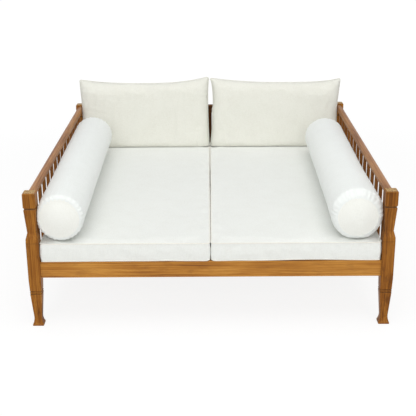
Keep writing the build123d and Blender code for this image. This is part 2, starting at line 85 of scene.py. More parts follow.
def setInputs(tree, node, values):
    # values are constants or sockets for the node's inputs, by name or number
    for key, value in values.items():
        if isinstance(value, bpy.types.NodeSocket):
            tree.links.new(value, node.inputs[key])
        else:
            node.inputs[key].default_value = value
    return node


def addNode(tree, kind, values=None, **settings):
    node = tree.nodes.new(kind)
    for key, value in settings.items():
        setattr(node, key, value)
    return setInputs(tree, node, values or {})


def maths(tree, operation, *values, clamp=False):
    node = addNode(tree, "ShaderNodeMath", dict(enumerate(values)), operation=operation, use_clamp=clamp)
    return node.outputs[0]


def weighted(tree, total, *terms):
    # total plus each term's value times its weight
    for value, weight in terms:
        total = maths(tree, "MULTIPLY_ADD", value, weight, total)
    return total


def vectorMaths(tree, operation, *values):
    node = addNode(tree, "ShaderNodeVectorMath", dict(enumerate(values)), operation=operation)
    return node.outputs["Value" if operation in ("LENGTH", "DOT_PRODUCT") else "Vector"]


def mixColour(tree, factor, low, high, blend="MIX"):
    values = {0: factor, 6: low, 7: high}
    return addNode(tree, "ShaderNodeMix", values, data_type="RGBA", blend_type=blend).outputs[2]


def noise(tree, vector, scale, detail=2.0, roughness=0.5):
    values = {"Vector": vector, "Scale": scale, "Detail": detail, "Roughness": roughness}
    return addNode(tree, "ShaderNodeTexNoise", values).outputs[0]


def stretched(tree, vector, scales):
    return vectorMaths(tree, "MULTIPLY", vector, scales)


def scaled(tree, vector, factor):
    return addNode(tree, "ShaderNodeVectorMath", {0: vector, "Scale": factor}, operation="SCALE").outputs[0]


def parted(tree, vector):
    return addNode(tree, "ShaderNodeSeparateXYZ", {0: vector}).outputs


def ranged(tree, value, low, high, result=(0.0, 1.0), kind="LINEAR"):
    values = {"Value": value, "From Min": low, "From Max": high, "To Min": result[0], "To Max": result[1]}
    return addNode(tree, "ShaderNodeMapRange", values, interpolation_type=kind).outputs[0]


def between(tree, value, low, high):
    # 0 below low, 1 above high, and a smooth step between them
    return ranged(tree, value, low, high, kind="SMOOTHSTEP")


def bumped(tree, strength, distance, height, **under):
    values = {"Strength": strength, "Distance": distance, "Height": height, **under}
    return addNode(tree, "ShaderNodeBump", values).outputs[0]


def newGroup(name, inputs, outputs):
    tree = bpy.data.node_groups.new(name, "ShaderNodeTree")
    for label, kind in inputs:
        tree.interface.new_socket(name=label, in_out="INPUT", socket_type=kind)
    for label, kind in outputs:
        tree.interface.new_socket(name=label, in_out="OUTPUT", socket_type=kind)
    return tree, tree.nodes.new("NodeGroupInput").outputs, tree.nodes.new("NodeGroupOutput").inputs


number, colour, vector3 = "NodeSocketFloat", "NodeSocketColor", "NodeSocketVector"

grainLook = {
    "noises": {
        # scales across, across and along the fibres, detail, roughness
        "streak": ((130.0, 130.0, 2.0), 4.0, 0.6),
        "fibre": ((480.0, 480.0, 8.0), 2.0, 0.5),
        "patch": ((16.0, 16.0, 3.2), 3.0, 0.5),
        "wander": ((9.0, 9.0, 1.1), 2.0, 0.5),
        "stain": ((34.0, 34.0, 11.0), 3.0, 0.6),
        "pore": ((900.0, 900.0, 26.0), 1.0, 0.5),
    },
    "speckle": (170.0, 3.0, 0.7),  # scale, detail and roughness of the end grain
    "boardJump": 3.0,  # how far one board's pattern lies from the next one's
    "pith": (1.0, 0.6, 0.03),  # stretches the distance from the pith, round which the rings lie
    "wanderTurns": 7.0,
    "ringPower": 1.8,
    "weights": {"streak": 0.9, "fibre": 0.3, "ring": -0.14, "patch": 0.8, "board": 0.14},
    "toneShift": -0.47,  # half the weights of patch and board, so that these two vary about nothing
    # where each smooth step begins and ends
    "lightStep": (0.46, 0.74),
    "darkStep": (0.2, 0.5),
    "stainStep": (0.56, 0.68),
    "poreStep": (0.6, 0.7),
    "endStep": (0.8, 0.95),
    "speckleStep": (0.36, 0.56),
    "poreShare": 0.4,
    "poreDepth": 0.8,
}


def sawnGrainGroup(look):
    # Timber with its fibres along the vector's third axis: streaks, slow rings, patches, pores, end grain
    tree, given, result = newGroup(
        "sawnGrain",
        [("Vector", vector3), ("Normal", vector3), ("Light", colour), ("Middle", colour), ("Dark", colour),
         ("End", colour), ("Ring Width", number), ("Stain", number), ("Board Size", vector3),
         ("Board Shift", vector3)],
        [("Color", colour), ("Tone", number), ("Height", number)],
    )
    place, dark = given["Vector"], given["Dark"]
    counted = vectorMaths(tree, "DIVIDE", place, given["Board Size"])
    cell = vectorMaths(tree, "FLOOR", vectorMaths(tree, "ADD", counted, given["Board Shift"]))
    board = addNode(tree, "ShaderNodeTexWhiteNoise", {"Vector": cell}, noise_dimensions="3D").outputs
    shifted = vectorMaths(tree, "ADD", place, scaled(tree, board["Color"], look["boardJump"]))
    found = {name: noise(tree, stretched(tree, shifted, scales), 1.0, *settings)
             for name, (scales, *settings) in look["noises"].items()}
    fromPith = vectorMaths(tree, "LENGTH", stretched(tree, shifted, look["pith"]))
    turns = maths(tree, "DIVIDE", fromPith, given["Ring Width"])
    turns = weighted(tree, turns, (found["wander"], look["wanderTurns"]))
    found["ring"] = maths(tree, "POWER", maths(tree, "FRACT", turns), look["ringPower"])
    found["board"] = board["Value"]
    terms = [(found[name], share) for name, share in look["weights"].items()]
    tone = weighted(tree, look["toneShift"], *terms)
    pale = mixColour(tree, between(tree, tone, *look["lightStep"]), given["Middle"], given["Light"])
    body = mixColour(tree, between(tree, tone, *look["darkStep"]), dark, pale)
    stain = between(tree, found["stain"], *look["stainStep"])
    body = mixColour(tree, maths(tree, "MULTIPLY", stain, given["Stain"]), body, dark)
    pore = between(tree, found["pore"], *look["poreStep"])
    body = mixColour(tree, maths(tree, "MULTIPLY", pore, look["poreShare"]), body, dark)
    along = vectorMaths(tree, "DOT_PRODUCT", given["Normal"], (0.0, 0.0, 1.0))
    endGrain = between(tree, maths(tree, "ABSOLUTE", along), *look["endStep"])
    scale, *settings = look["speckle"]
    speckle = noise(tree, scaled(tree, shifted, scale), 1.0, *settings)
    endShade = mixColour(tree, between(tree, speckle, *look["speckleStep"]), dark, given["End"])
    tree.links.new(mixColour(tree, endGrain, body, endShade), result["Color"])
    tree.links.new(tone, result["Tone"])
    tree.links.new(weighted(tree, found["fibre"], (pore, -look["poreDepth"])), result["Height"])
    return tree


def easedEdgeGroup():
    # 1 on facets at 45 degrees to two axes, such as chamfers and eased corners, and 0 on flat faces
    tree, given, result = newGroup("easedEdge", [("Normal", vector3)], [("Mask", number)])
    parts = parted(tree, vectorMaths(tree, "ABSOLUTE", given["Normal"]))
    total = weighted(tree, 0.0, *[(parts[axis], parts[(axis + 1) % 3]) for axis in range(3)])
    tree.links.new(between(tree, total, 0.28, 0.46), result["Mask"])
    return tree


yarnScales = ((700.0, 60.0, 60.0), (60.0, 700.0, 700.0))  # unevenness of the warp's and of the weft's yarn


def plainWeaveGroup():
    # Over-and-under threads seen square on to whichever axis the face points along, with uneven yarn
    tree, given, result = newGroup(
        "plainWeave", [("Vector", vector3), ("Normal", vector3), ("Pitch", number)],
        [("Height", number), ("Slub", number)],
    )
    place, normal = given["Vector"], given["Normal"]
    threads = maths(tree, "DIVIDE", math.pi, given["Pitch"])
    sines = parted(tree, vectorMaths(tree, "SINE", scaled(tree, place, threads)))
    weights = parted(tree, vectorMaths(tree, "MULTIPLY", normal, normal))
    height = 0.5
    for axis in range(3):
        crossing = maths(tree, "MULTIPLY", sines[(axis + 1) % 3], sines[(axis + 2) % 3])
        height = weighted(tree, height, (maths(tree, "MULTIPLY", crossing, weights[axis]), 0.5))
    yarns = [noise(tree, stretched(tree, place, scales), 1.0) for scales in yarnScales]
    slub = weighted(tree, 0.0, *[(yarn, 0.5) for yarn in yarns])
    tree.links.new(height, result["Height"])
    tree.links.new(slub, result["Slub"])
    return tree


sawnGrain = sawnGrainGroup(grainLook)
easedEdge = easedEdgeGroup()
plainWeave = plainWeaveGroup()

# Materials

honeyTimber = {
    "light": (0.535, 0.246, 0.040, 1.0),
    "middle": (0.392, 0.154, 0.017, 1.0),
    "dark": (0.185, 0.060, 0.008, 1.0),
    "end": (0.500, 0.310, 0.110, 1.0),
    "ringWidth": 0.009,
    "stain": 0.22,  # strength of the darker patches
    "roughness": (0.40, 0.56),
    # lighter colour of chamfers and eased corners: edge wear and a painted highlight
    "edge": (0.540, 0.250, 0.045, 1.0),
    "edgeShare": 0.3,
    "glossTones": (0.7, 0.2),  # tones of the grain at the first and the second roughness
    "bump": 0.22,
    "bumpDepth": 0.0006,
    "specular": 0.22,
    "coat": 0.05,
    "coatRoughness": 0.3,
}
postTimber = dict(
    honeyTimber,
    light=(0.370, 0.150, 0.020, 1.0),
    middle=(0.250, 0.085, 0.008, 1.0),
    dark=(0.095, 0.028, 0.003, 1.0),
    edge=(0.400, 0.170, 0.026, 1.0),
    stain=0.5,
    specular=0.16,
    coat=0.0,
)
armTimber = dict(
    honeyTimber,
    light=(0.370, 0.158, 0.036, 1.0),
    middle=(0.250, 0.092, 0.015, 1.0),
    dark=(0.105, 0.034, 0.006, 1.0),
    roughness=(0.42, 0.55),
    specular=0.4,
    coat=0.0,
)
# Darker copy of the post timber for the arm slats: painted shade from the bolsters that stand close to them
shadedSlatTimber = dict(
    postTimber,
    light=(0.270, 0.100, 0.018, 1.0),
    middle=(0.175, 0.060, 0.009, 1.0),
    dark=(0.075, 0.022, 0.004, 1.0),
)
# Much darker copy of the post timber for the back rail and back slats: painted shade from the pillows in
# front of them
shadedBackTimber = dict(
    postTimber,
    light=(0.150, 0.052, 0.010, 1.0),
    middle=(0.085, 0.026, 0.004, 1.0),
    dark=(0.040, 0.012, 0.003, 1.0),
)
deckTimber = dict(
    honeyTimber,
    light=(0.560, 0.330, 0.130, 1.0),
    middle=(0.430, 0.225, 0.080, 1.0),
    dark=(0.230, 0.105, 0.035, 1.0),
    roughness=(0.5, 0.7),
    coat=0.0,
)
# which of the part's axes go across, across and along the fibres
grainOrders = {"x": (1, 2, 0), "y": (2, 0, 1), "z": (0, 1, 2)}


def reordered(tree, vector, axis):
    parts = parted(tree, vector)
    values = {i: parts[j] for i, j in enumerate(grainOrders[axis])}
    return addNode(tree, "ShaderNodeCombineXYZ", values).outputs[0]


def newMaterial(name):
    material = bpy.data.materials.new(name)
    material.use_nodes = True
    tree = material.node_tree
    shader = tree.nodes["Principled BSDF"]
    coordinates = tree.nodes.new("ShaderNodeTexCoord").outputs
    return material, tree, shader, coordinates["Object"], coordinates["Normal"]


def timber(name, axis, look, boardSize, boardShift=(0.5, 0.5, 0.5), grooves=None, easedEdges=True):
    # Oiled timber with its fibres along one axis; each cell of boardSize is a board of its own tone
    material, tree, shader, place, normal = newMaterial(name)
    given = {label: look[label.lower()] for label in ("Light", "Middle", "Dark", "End", "Stain")}
    given["Ring Width"] = look["ringWidth"]
    given["Vector"] = reordered(tree, place, axis)
    given["Normal"] = reordered(tree, normal, axis)
    given["Board Size"] = [boardSize[j] for j in grainOrders[axis]]
    given["Board Shift"] = [boardShift[j] for j in grainOrders[axis]]
    grain = addNode(tree, "ShaderNodeGroup", given, node_tree=sawnGrain).outputs
    shade = grain["Color"]
    if easedEdges:
        # chamfers and eased corners made lighter: edge wear and a painted highlight
        edgeWearAndHighlight = addNode(tree, "ShaderNodeGroup", {0: normal}, node_tree=easedEdge).outputs[0]
        shade = mixColour(tree, maths(tree, "MULTIPLY", edgeWearAndHighlight, look["edgeShare"]), shade, look["edge"])
    if grooves:
        # painted shade in the posts' carved cuts
        shade = mixColour(tree, paintedGrooveShade(tree, place, grooves), shade, grooves["stain"])
    setInputs(tree, shader, {
        "Base Color": shade,
        "Roughness": ranged(tree, grain["Tone"], *look["glossTones"], look["roughness"]),
        "Normal": bumped(tree, look["bump"], look["bumpDepth"], grain["Height"]),
        "Specular IOR Level": look["specular"],
        "Coat Weight": look["coat"],
        "Coat Roughness": look["coatRoughness"],
    })
    return material


# Painted shade for the posts: dark lines along their carved cuts and under their shoulders
postGrooves = {
    "cuts": [
        # height, half width and strength of the dark line
        (0.1595, 0.0034, 0.75),
        (0.1705, 0.0034, 0.75),
        (0.4040, 0.0022, 0.55),
        (0.5650, 0.0060, 0.80),
    ],
    # colour of the painted shade in the cuts
    "stain": (0.060, 0.022, 0.008, 1.0),
    "core": 0.3,  # share of a line's half width that is at full strength
    "patchScale": 60.0,
    "patchStep": (0.15, 0.55),
}


def paintedGrooveShade(tree, place, grooves):
    # Painted shade in the cuts round the posts and under their shoulders, patchy along them
    height = parted(tree, place)[2]
    total = 0.0
    for level, halfWidth, strength in grooves["cuts"]:
        away = maths(tree, "ABSOLUTE", maths(tree, "SUBTRACT", height, level))
        near = between(tree, away, halfWidth, halfWidth * grooves["core"])
        total = weighted(tree, total, (near, strength))
    patchy = between(tree, noise(tree, place, grooves["patchScale"]), *grooves["patchStep"])
    return maths(tree, "MULTIPLY", total, patchy, clamp=True)


seatCloth = {
    "light": (0.820, 0.835, 0.800, 1.0),
    "shade": (0.765, 0.772, 0.730, 1.0),
    "pitch": 0.0011,
    "slubShare": 0.8,  # of the mottle; slow patches make the rest
    "patchScale": 14.0,
    "mottleStep": (0.32, 0.6),
    "threadStep": (0.1, 0.9),
    # painted shade: the hollows between threads are darkened by this share
    "hollowShade": 0.12,  # how much the hollows between threads darken
    "roughness": (0.95, 0.82),  # in the hollows and on the threads
    "weaveBump": 0.6,
    "weaveDepth": 0.00035,
    "slubBump": 0.35,
    "slubDepth": 0.0009,
    "sheen": 0.35,
    "sheenRoughness": 0.5,
}
# Pillow cloth: darker and warmer than the seat's, its own tone with the warm bounce light and shade on the
# pillows painted in
pillowCloth = dict(seatCloth, light=(0.792, 0.790, 0.720, 1.0), shade=(0.732, 0.724, 0.650, 1.0))
bolsterCloth = dict(seatCloth, light=(0.835, 0.860, 0.835, 1.0), shade=(0.785, 0.805, 0.775, 1.0))
# Piping cloth: its own tone with the warm tan shade and pale highlight seen along the seams painted in
pipingCloth = dict(seatCloth, light=(0.840, 0.825, 0.760, 1.0), shade=(0.780, 0.755, 0.680, 1.0))
# lighter and warmer cloth for the bolsters' end discs and their piping: a painted highlight where they face
# the lamps
litEndCloth = dict(seatCloth, light=(0.860, 0.866, 0.815, 1.0), shade=(0.810, 0.812, 0.755, 1.0))


def cloth(name, look):
    # Plain woven outdoor cloth: threads, uneven yarn, faint tone patches and painted shade in the hollows
    # between threads
    material, tree, shader, place, normal = newMaterial(name)
    given = {"Vector": place, "Normal": normal, "Pitch": look["pitch"]}
    weave = addNode(tree, "ShaderNodeGroup", given, node_tree=plainWeave).outputs
    patches = noise(tree, place, look["patchScale"], 3.0)
    mottle = weighted(tree, 0.0, (weave["Slub"], look["slubShare"]), (patches, 1 - look["slubShare"]))
    shade = mixColour(tree, between(tree, mottle, *look["mottleStep"]), look["shade"], look["light"])
    threads = between(tree, weave["Height"], *look["threadStep"])
    # painted shade in the hollows between threads
    hollows = weighted(tree, look["hollowShade"], (threads, -look["hollowShade"]))
    coarse = bumped(tree, look["slubBump"], look["slubDepth"], mottle)
    setInputs(tree, shader, {
        "Base Color": mixColour(tree, hollows, shade, look["shade"], "MULTIPLY"),
        "Roughness": ranged(tree, threads, 0.0, 1.0, look["roughness"]),
        "Normal": bumped(tree, look["weaveBump"], look["weaveDepth"], weave["Height"], Normal=coarse),
        "Sheen Weight": look["sheen"],
        "Sheen Roughness": look["sheenRoughness"],
    })
    return material


def metal(name, tint, roughness, scratchScale):
    # Plated or plain metal with fine scratches in its colour and gloss
    material, tree, shader, place = newMaterial(name)[:4]
    scratches = noise(tree, place, scratchScale, 3.0)
    darker = [part * 0.8 for part in tint[:3]] + [1.0]
    setInputs(tree, shader, {
        "Base Color": mixColour(tree, between(tree, scratches, 0.3, 0.7), darker, tint),
        "Roughness": ranged(tree, scratches, 0.0, 1.0, roughness),
        "Metallic": 1.0,
    })
    return material


def evenCells(first, second, axis):
    # Pitch of a row of like pieces, and the shift that puts each of them in the middle of a cell
    middles = [sum(corner[axis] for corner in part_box(name)) / 2 for name in (first, second)]
    pitch = middles[1] - middles[0]
    return pitch, 0.5 - middles[0] / pitch


def slatCells(node, count, axis, width=0.024):
    # The same for slats that are one node
    low, high = (corner[axis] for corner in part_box(node))
    pitch = (high - low - width) / (count - 1)
    return pitch, 0.5 - (low + width / 2) / pitch


armPitch, armShift = slatCells("right_arm_slats", 14, 1)
backPitch, backShift = slatCells("back_slats", 13, 0)
deckPitch, deckShift = evenCells("seat_slat_01", "seat_slat_02", 1)

upright = timber("timber_upright", "z", postTimber, (0.9, 0.9, 5.0), grooves=postGrooves)
acrossRail = timber("timber_across", "x", honeyTimber, (5.0, 0.31, 0.36))
shadedBackRail = timber("timber_back_rail_painted_shade", "x", shadedBackTimber, (5.0, 5.0, 5.0))
alongRail = timber("timber_front_to_back", "y", honeyTimber, (0.7, 5.0, 0.4))
roundRail = timber("timber_round_rail", "y", armTimber, (0.7, 5.0, 5.0), easedEdges=False)
shadedArmSlatWood = timber("timber_arm_slat_painted_shade", "z", shadedSlatTimber, (0.9, armPitch, 5.0), (0.5, armShift, 0.5))
shadedBackSlatWood = timber("timber_back_slat_painted_shade", "z", shadedBackTimber, (backPitch, 5.0, 5.0), (backShift, 0.5, 0.5))
deckBoard = timber("timber_deck", "x", deckTimber, (5.0, deckPitch, 5.0), (0.5, deckShift, 0.5))
ledgerWood = timber("timber_ledger", "y", deckTimber, (0.7, 5.0, 5.0))
seatCover = cloth("seat_cover_cloth", seatCloth)
pillowCover = cloth("pillow_cover_cloth", pillowCloth)
bolsterCover = cloth("bolster_cover_cloth", bolsterCloth)
litBolsterEnd = cloth("bolster_end_cloth_painted_highlight", litEndCloth)
pipingCover = cloth("piping_cloth", pipingCloth)
zipTape = cloth("zip_tape_cloth", dict(seatCloth, light=(0.78, 0.78, 0.74, 1.0), pitch=0.0006, sheen=0.05))
nickel = metal("nickel", (0.72, 0.71, 0.68, 1.0), (0.25, 0.42), 900.0)
stainless = metal("stainless", (0.62, 0.62, 0.62, 1.0), (0.3, 0.5), 700.0)

woodFor = [
    (("back_top_rail",), shadedBackRail),
    (("front_seat_rail", "back_seat_rail", "corner_block"), acrossRail),
    (("arm_rail",), roundRail),
    (("left_seat_rail", "right_seat_rail"), alongRail),
    (("post",), upright),
    (("arm_slats",), shadedArmSlatWood),
    (("back_slats",), shadedBackSlatWood),
    (("screws", "bolts", "washers", "nuts"), stainless),
    (("seat_slat_0", "seat_slat_1"), deckBoard),
    (("centre_beam", "slat_ledger"), ledgerWood),
    (("zip_slider",), nickel),
]


def dressCadNodes():
    for name, piece in nodes.items():
        for words, material in woodFor:
            if any(word in name for word in words):
                piece.data.materials.clear()
                piece.data.materials.append(material)
                break


dressCadNodes()
print("timber and metal dressed")

# Surfaces from numpy


def addMesh(name, points, *blocks):
    # All faces in one block have the same number of corners
    faces = [face for block in blocks for face in np.asarray(block, int).tolist()]
    mesh = bpy.data.meshes.new(name)
    mesh.from_pydata(np.asarray(points, float).tolist(), [], faces)
    mesh.update()
    piece = bpy.data.objects.new(name, mesh)
    bpy.context.scene.collection.objects.link(piece)
    return piece


def tidyMesh(piece, weld=1e-5, smooth=True):
    # Welds the seams between grids and turns every face outwards
    work = bmesh.new()
    work.from_mesh(piece.data)
    bmesh.ops.remove_doubles(work, verts=work.verts, dist=weld)
    bmesh.ops.recalc_face_normals(work, faces=work.faces)
    for face in work.faces:
        face.smooth = smooth
    work.to_mesh(piece.data)
    work.free()
    piece.data.update()


def gridFaces(rows, columns, start=0, wrap=False):
    # Quads of a grid of points stored row by row; wrap joins the last column to the first
    row = np.arange(rows - 1)[:, None]
    column = np.arange(columns if wrap else columns - 1)[None, :]
    nextColumn = (column + 1) % columns
    corners = [row * columns + column, row * columns + nextColumn,
               (row + 1) * columns + nextColumn, (row + 1) * columns + column]
    corners = [np.broadcast_to(corner, (rows - 1, column.size)) for corner in corners]
    return start + np.stack(corners, axis=-1).reshape(-1, 4)


def borderOf(shape):
    # Which points of a grid lie on its border
    border = np.zeros(shape, bool)
    border[[0, -1], :] = border[:, [0, -1]] = True
    return border.ravel()


def coons(low, high, left, right, u=None, v=None):
    # Coons patch: the two blends between opposite borders, less the blend of the four corners
    u = (np.linspace(0, 1, len(low)) if u is None else u)[None, :, None]
    v = (np.linspace(0, 1, len(left)) if v is None else v)[:, None, None]
    across = (1 - v) * low[None] + v * high[None]
    along = (1 - u) * left[:, None] + u * right[:, None]
    corners = (1 - u) * (1 - v) * low[0] + u * (1 - v) * low[-1] + (1 - u) * v * high[0] + u * v * high[-1]
    return across + along - corners


def smoothNoise(points, seed, sizes, heights):
    # Sum of a few seeded plane waves for each size: slow, even unevenness over a surface
    generator = np.random.default_rng(seed)
    total = np.zeros(len(points))
    for size, height in zip(sizes, heights):
        for _ in range(6):
            direction = generator.normal(size=3)
            direction *= 2 * math.pi / (size * np.linalg.norm(direction))
            total += height / 6 * np.sin(points @ direction + generator.uniform(0, 2 * math.pi))
    return total


def tube(name, path, radius, around):
    # Closed round cord along a ring of points: circles square to the path, kept from twisting by a fixed up
    path = np.asarray(path, float)
    ahead = np.roll(path, -1, axis=0) - np.roll(path, 1, axis=0)
    ahead /= np.linalg.norm(ahead, axis=1)[:, None]
    middle = path.mean(axis=0)
    spread = np.linalg.svd(path - middle, full_matrices=False)[2][2]
    across = np.cross(ahead, spread)
    across /= np.linalg.norm(across, axis=1)[:, None]
    above = np.cross(across, ahead)
    angle = np.linspace(0, 2 * math.pi, around, endpoint=False)
    ring = np.cos(angle)[None, :, None] * across[:, None] + np.sin(angle)[None, :, None] * above[:, None]
    points = (path[:, None] + radius * ring).reshape(-1, 3)
    faces = gridFaces(len(path) + 1, around, wrap=True) % len(points)
    piece = addMesh(name, points, faces)
    tidyMesh(piece, 1e-6)
    return piece


def resampled(path, step):
    # The same closed ring at even steps
    closed = np.vstack([path, path[:1]])
    run = np.concatenate([[0], np.cumsum(np.linalg.norm(np.diff(closed, axis=0), axis=1))])
    even = np.linspace(0, run[-1], max(8, int(run[-1] / step)), endpoint=False)
    return np.stack([np.interp(even, run, closed[:, axis]) for axis in range(3)], axis=1)


def softBelow(values, limit, softness):
    # Values rounded off just before they reach the limit: limit less a softplus of the room that is left
    return limit - softness * np.logaddexp(0, (limit - values) / softness)


def softAbove(values, limit, softness):
    return limit + softness * np.logaddexp(0, (values - limit) / softness)


def fade(values, low, high):
    # 0 below low, 1 above high, smooth between them
    share = np.clip((values - low) / (high - low), 0, 1)
    return share * share * (3 - 2 * share)


# Cloth simulation shared by the six cushions

clothSettings = {
    "frames": 20,
    "quality": 6,
    "mass": 0.25,
    "creaseAngle": 0.87,  # radians between its faces from which a seam's edge stays sharp
}
waiting = []


def meshPoints(mesh):
    flat = np.empty(len(mesh.vertices) * 3, np.float32)
    mesh.vertices.foreach_get("co", flat)
    return flat.reshape(-1, 3).astype(float)


def setPoints(piece, places):
    piece.data.vertices.foreach_set("co", np.asarray(places, np.float32).ravel())
    piece.data.update()


def keepMarks(piece, held, cut=None):
    # Welding renumbers the points, so their marks ride in attributes until it is done
    marks = piece.data.attributes
    marks.new("held", "FLOAT", "POINT").data.foreach_set("value", held.astype(np.float32))
    if cut is not None:
        marks.new("cut", "FLOAT_VECTOR", "POINT").data.foreach_set("vector", cut.astype(np.float32).ravel())
    tidyMesh(piece)


def takeMarks(piece):
    marks = piece.data.attributes
    held = np.empty(len(piece.data.vertices), np.float32)
    marks["held"].data.foreach_get("value", held)
    marks.remove(marks["held"])
    cut = None
    if "cut" in marks:
        cut = np.empty(len(held) * 3, np.float32)
        marks["cut"].data.foreach_get("vector", cut)
        marks.remove(marks["cut"])
    return held > 0.01, cut


def layOut(makeCover, look):
    # One cover for each side with its seams, ready for the simulation
    made = {}
    for side in sides:
        made[side] = makeCover(side, look)
        piece = made[side][0]
        held, cut = takeMarks(piece)
        waiting.append((piece, held, cut, look))
        creaseSeams(piece, held)
    return made


def creaseSeams(piece, held):
    # Edges on the seams whose faces meet at a sharp angle stay sharp when the mesh is subdivided
    work = bmesh.new()
    work.from_mesh(piece.data)
    layer = work.edges.layers.float.new("crease_edge")
    for edge in work.edges:
        onSeam = held[edge.verts[0].index] and held[edge.verts[1].index]
        if onSeam and edge.calc_face_angle(0.0) > clothSettings["creaseAngle"]:
            edge[layer] = 1.0
    work.to_mesh(piece.data)
    work.free()


def addCloth(piece, held, cut, look):
    group = piece.vertex_groups.new(name="held")
    group.add([int(i) for i in np.flatnonzero(held)], 1.0, "REPLACE")
    modifier = piece.modifiers.new("cloth", "CLOTH")
    settings = modifier.settings
    settings.quality = clothSettings["quality"]
    settings.mass = clothSettings["mass"]
    settings.tension_stiffness = settings.compression_stiffness = look["tension"]
    settings.shear_stiffness = look["tension"] / 2
    settings.bending_stiffness = look["bending"]
    settings.use_pressure = True
    settings.uniform_pressure_force = look["pressure"]
    settings.effector_weights.gravity = 0.0
    settings.shrink_min = -look["excess"]
    settings.vertex_group_mass = group.name
    settings.pin_stiffness = 1.0
    if cut is not None:
        piece.shape_key_add(name="Basis", from_mix=False)
        key = piece.shape_key_add(name="cut", from_mix=False)
        key.data.foreach_set("co", cut)
        key.value = 0.0
        settings.rest_shape_key = key
    modifier.point_cache.frame_end = clothSettings["frames"]


def simulateAll():
    scene = bpy.context.scene
    for entry in waiting:
        addCloth(*entry)
    for step in range(1, clothSettings["frames"] + 1):
        scene.frame_set(step)
    graph = bpy.context.evaluated_depsgraph_get()
    moved = []
    for piece, *_ in waiting:
        evaluated = piece.evaluated_get(graph)
        moved.append(meshPoints(evaluated.to_mesh()))
        evaluated.to_mesh_clear()
    for (piece, _, _, look), after in zip(waiting, moved):
        piece.modifiers.clear()
        piece.vertex_groups.clear()
        if piece.data.shape_keys:
            piece.shape_key_clear()
        before = meshPoints(piece.data)
        shift = after - before
        length = np.linalg.norm(shift, axis=1)[:, None]
        cap = look["cap"]
        shift *= cap * np.tanh(length / cap) / np.maximum(length, 1e-9)
        setPoints(piece, before + shift)
        middle, most = (round(float(pick(length)) * 1000, 1) for pick in (np.median, np.max))
        print("simulated", piece.name, "median and largest move, mm", middle, most)
    scene.frame_set(1)


def finishCushion(piece, material, body, look):
    subdivide = piece.modifiers.new("subdivide", "SUBSURF")
    subdivide.levels = subdivide.render_levels = 1
    piece.data.materials.append(material)
    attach(piece, body)
    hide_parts(f"{body}_cover", f"{body}_{look['core']}")


def addPiping(name, path, look, material, body):
    piece = tube(name, path, look["piping"], look["cordSides"])
    piece.data.materials.append(material)
    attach(piece, body)


# Seat cushions: top and bottom panels, boxing, two rows of piping and the zip's pocket

seatCushion = {
    "boxing": 0.085,
    "corner": 0.011,
    "drawSide": 0.0008,
    "drawEnd": 0.0020,
    "seamInset": 0.0032,  # how far the seams lie inside the boxing's widest line
    "postGap": 0.0004,  # room left to the posts at the outer corners
    "middleGap": 0.0003,  # room left to the other cushion
    "bottomSeam": 0.0036,  # height of the lower seam over the slats
    "underside": 0.0006,  # height of the underside over the slats
    "undersideRise": 3.0,  # how much faster than the crown it swells from its seam
    "bulgePower": 0.6,  # how full the boxing bulges between its seams
    "crown": 0.0098,
    "crownReach": 0.030,  # how fast the top rises from its seam
    "cell": 0.013,
    "cornerCells": 3,
    "piping": 0.0032,
    "pipingStep": 0.009,
    "cordSides": 8,
    "pocketHalfLength": 0.3086,
    "pocketHalfHeight": 0.0125,
    "pocketLip": 0.0025,
    "pocketSlack": 0.0005,
    "underTape": 0.0002,  # how far the pocket's floor lies under the tape
    "unevenness": (0.0016, 0.0006),  # slow hollows in the top, and finer ones
    "unevenSizes": (0.42, 0.16),
    "cornerFolds": (0.0017, 0.011, 0.030),  # upright folds at the outer front corner: depth, spacing, reach
    "cornerWrinkle": (0.0022, 0.00132),  # depths of the wrinkles on that corner, then their sizes
    "wrinkleSizes": (0.045, 0.028),
    "wrinkleUpright": 0.35,  # less than 1 draws the wrinkles out in height
    "wrinkleForward": 0.8,  # share of a wrinkle that shows on the front
    "cornerReach": 0.055,
    # where the two cushions stand apart along their meeting line: middle, half length, depth, reach
    "parting": (0.08, 0.30, 0.0011, 0.02),
    "pressure": 0.25, "tension": 30.0, "bending": 0.6, "excess": 0.008, "cap": 0.004,
    "core": "foam",
    "fill": 0.85,
    "seeds": {"left": (11, 18), "right": (12, 19)},  # of the hollows and of the wrinkles
    # stretches of the lower front seam that lift off the rail: middle, half length, height
    "lifts": {"left": [(-0.20, 0.09, 0.0012), (0.0, 0.020, 0.0045)],
              "right": [(0.46, 0.24, 0.0040), (0.12, 0.06, 0.0010), (0.0, 0.020, 0.0045)]},
    "liftReach": 0.05,
    "pressedFrom": (0.55, 0.64),  # from here back the pillows keep the top level
    "limitSoftness": (0.0005, 0.0004, 0.0010),  # across, at the underside and at the top
    "limitGap": 0.0003,
}
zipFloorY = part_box("right_seat_zip")[0].y
postInnerX = abs(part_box("right_front_post")[0].x)


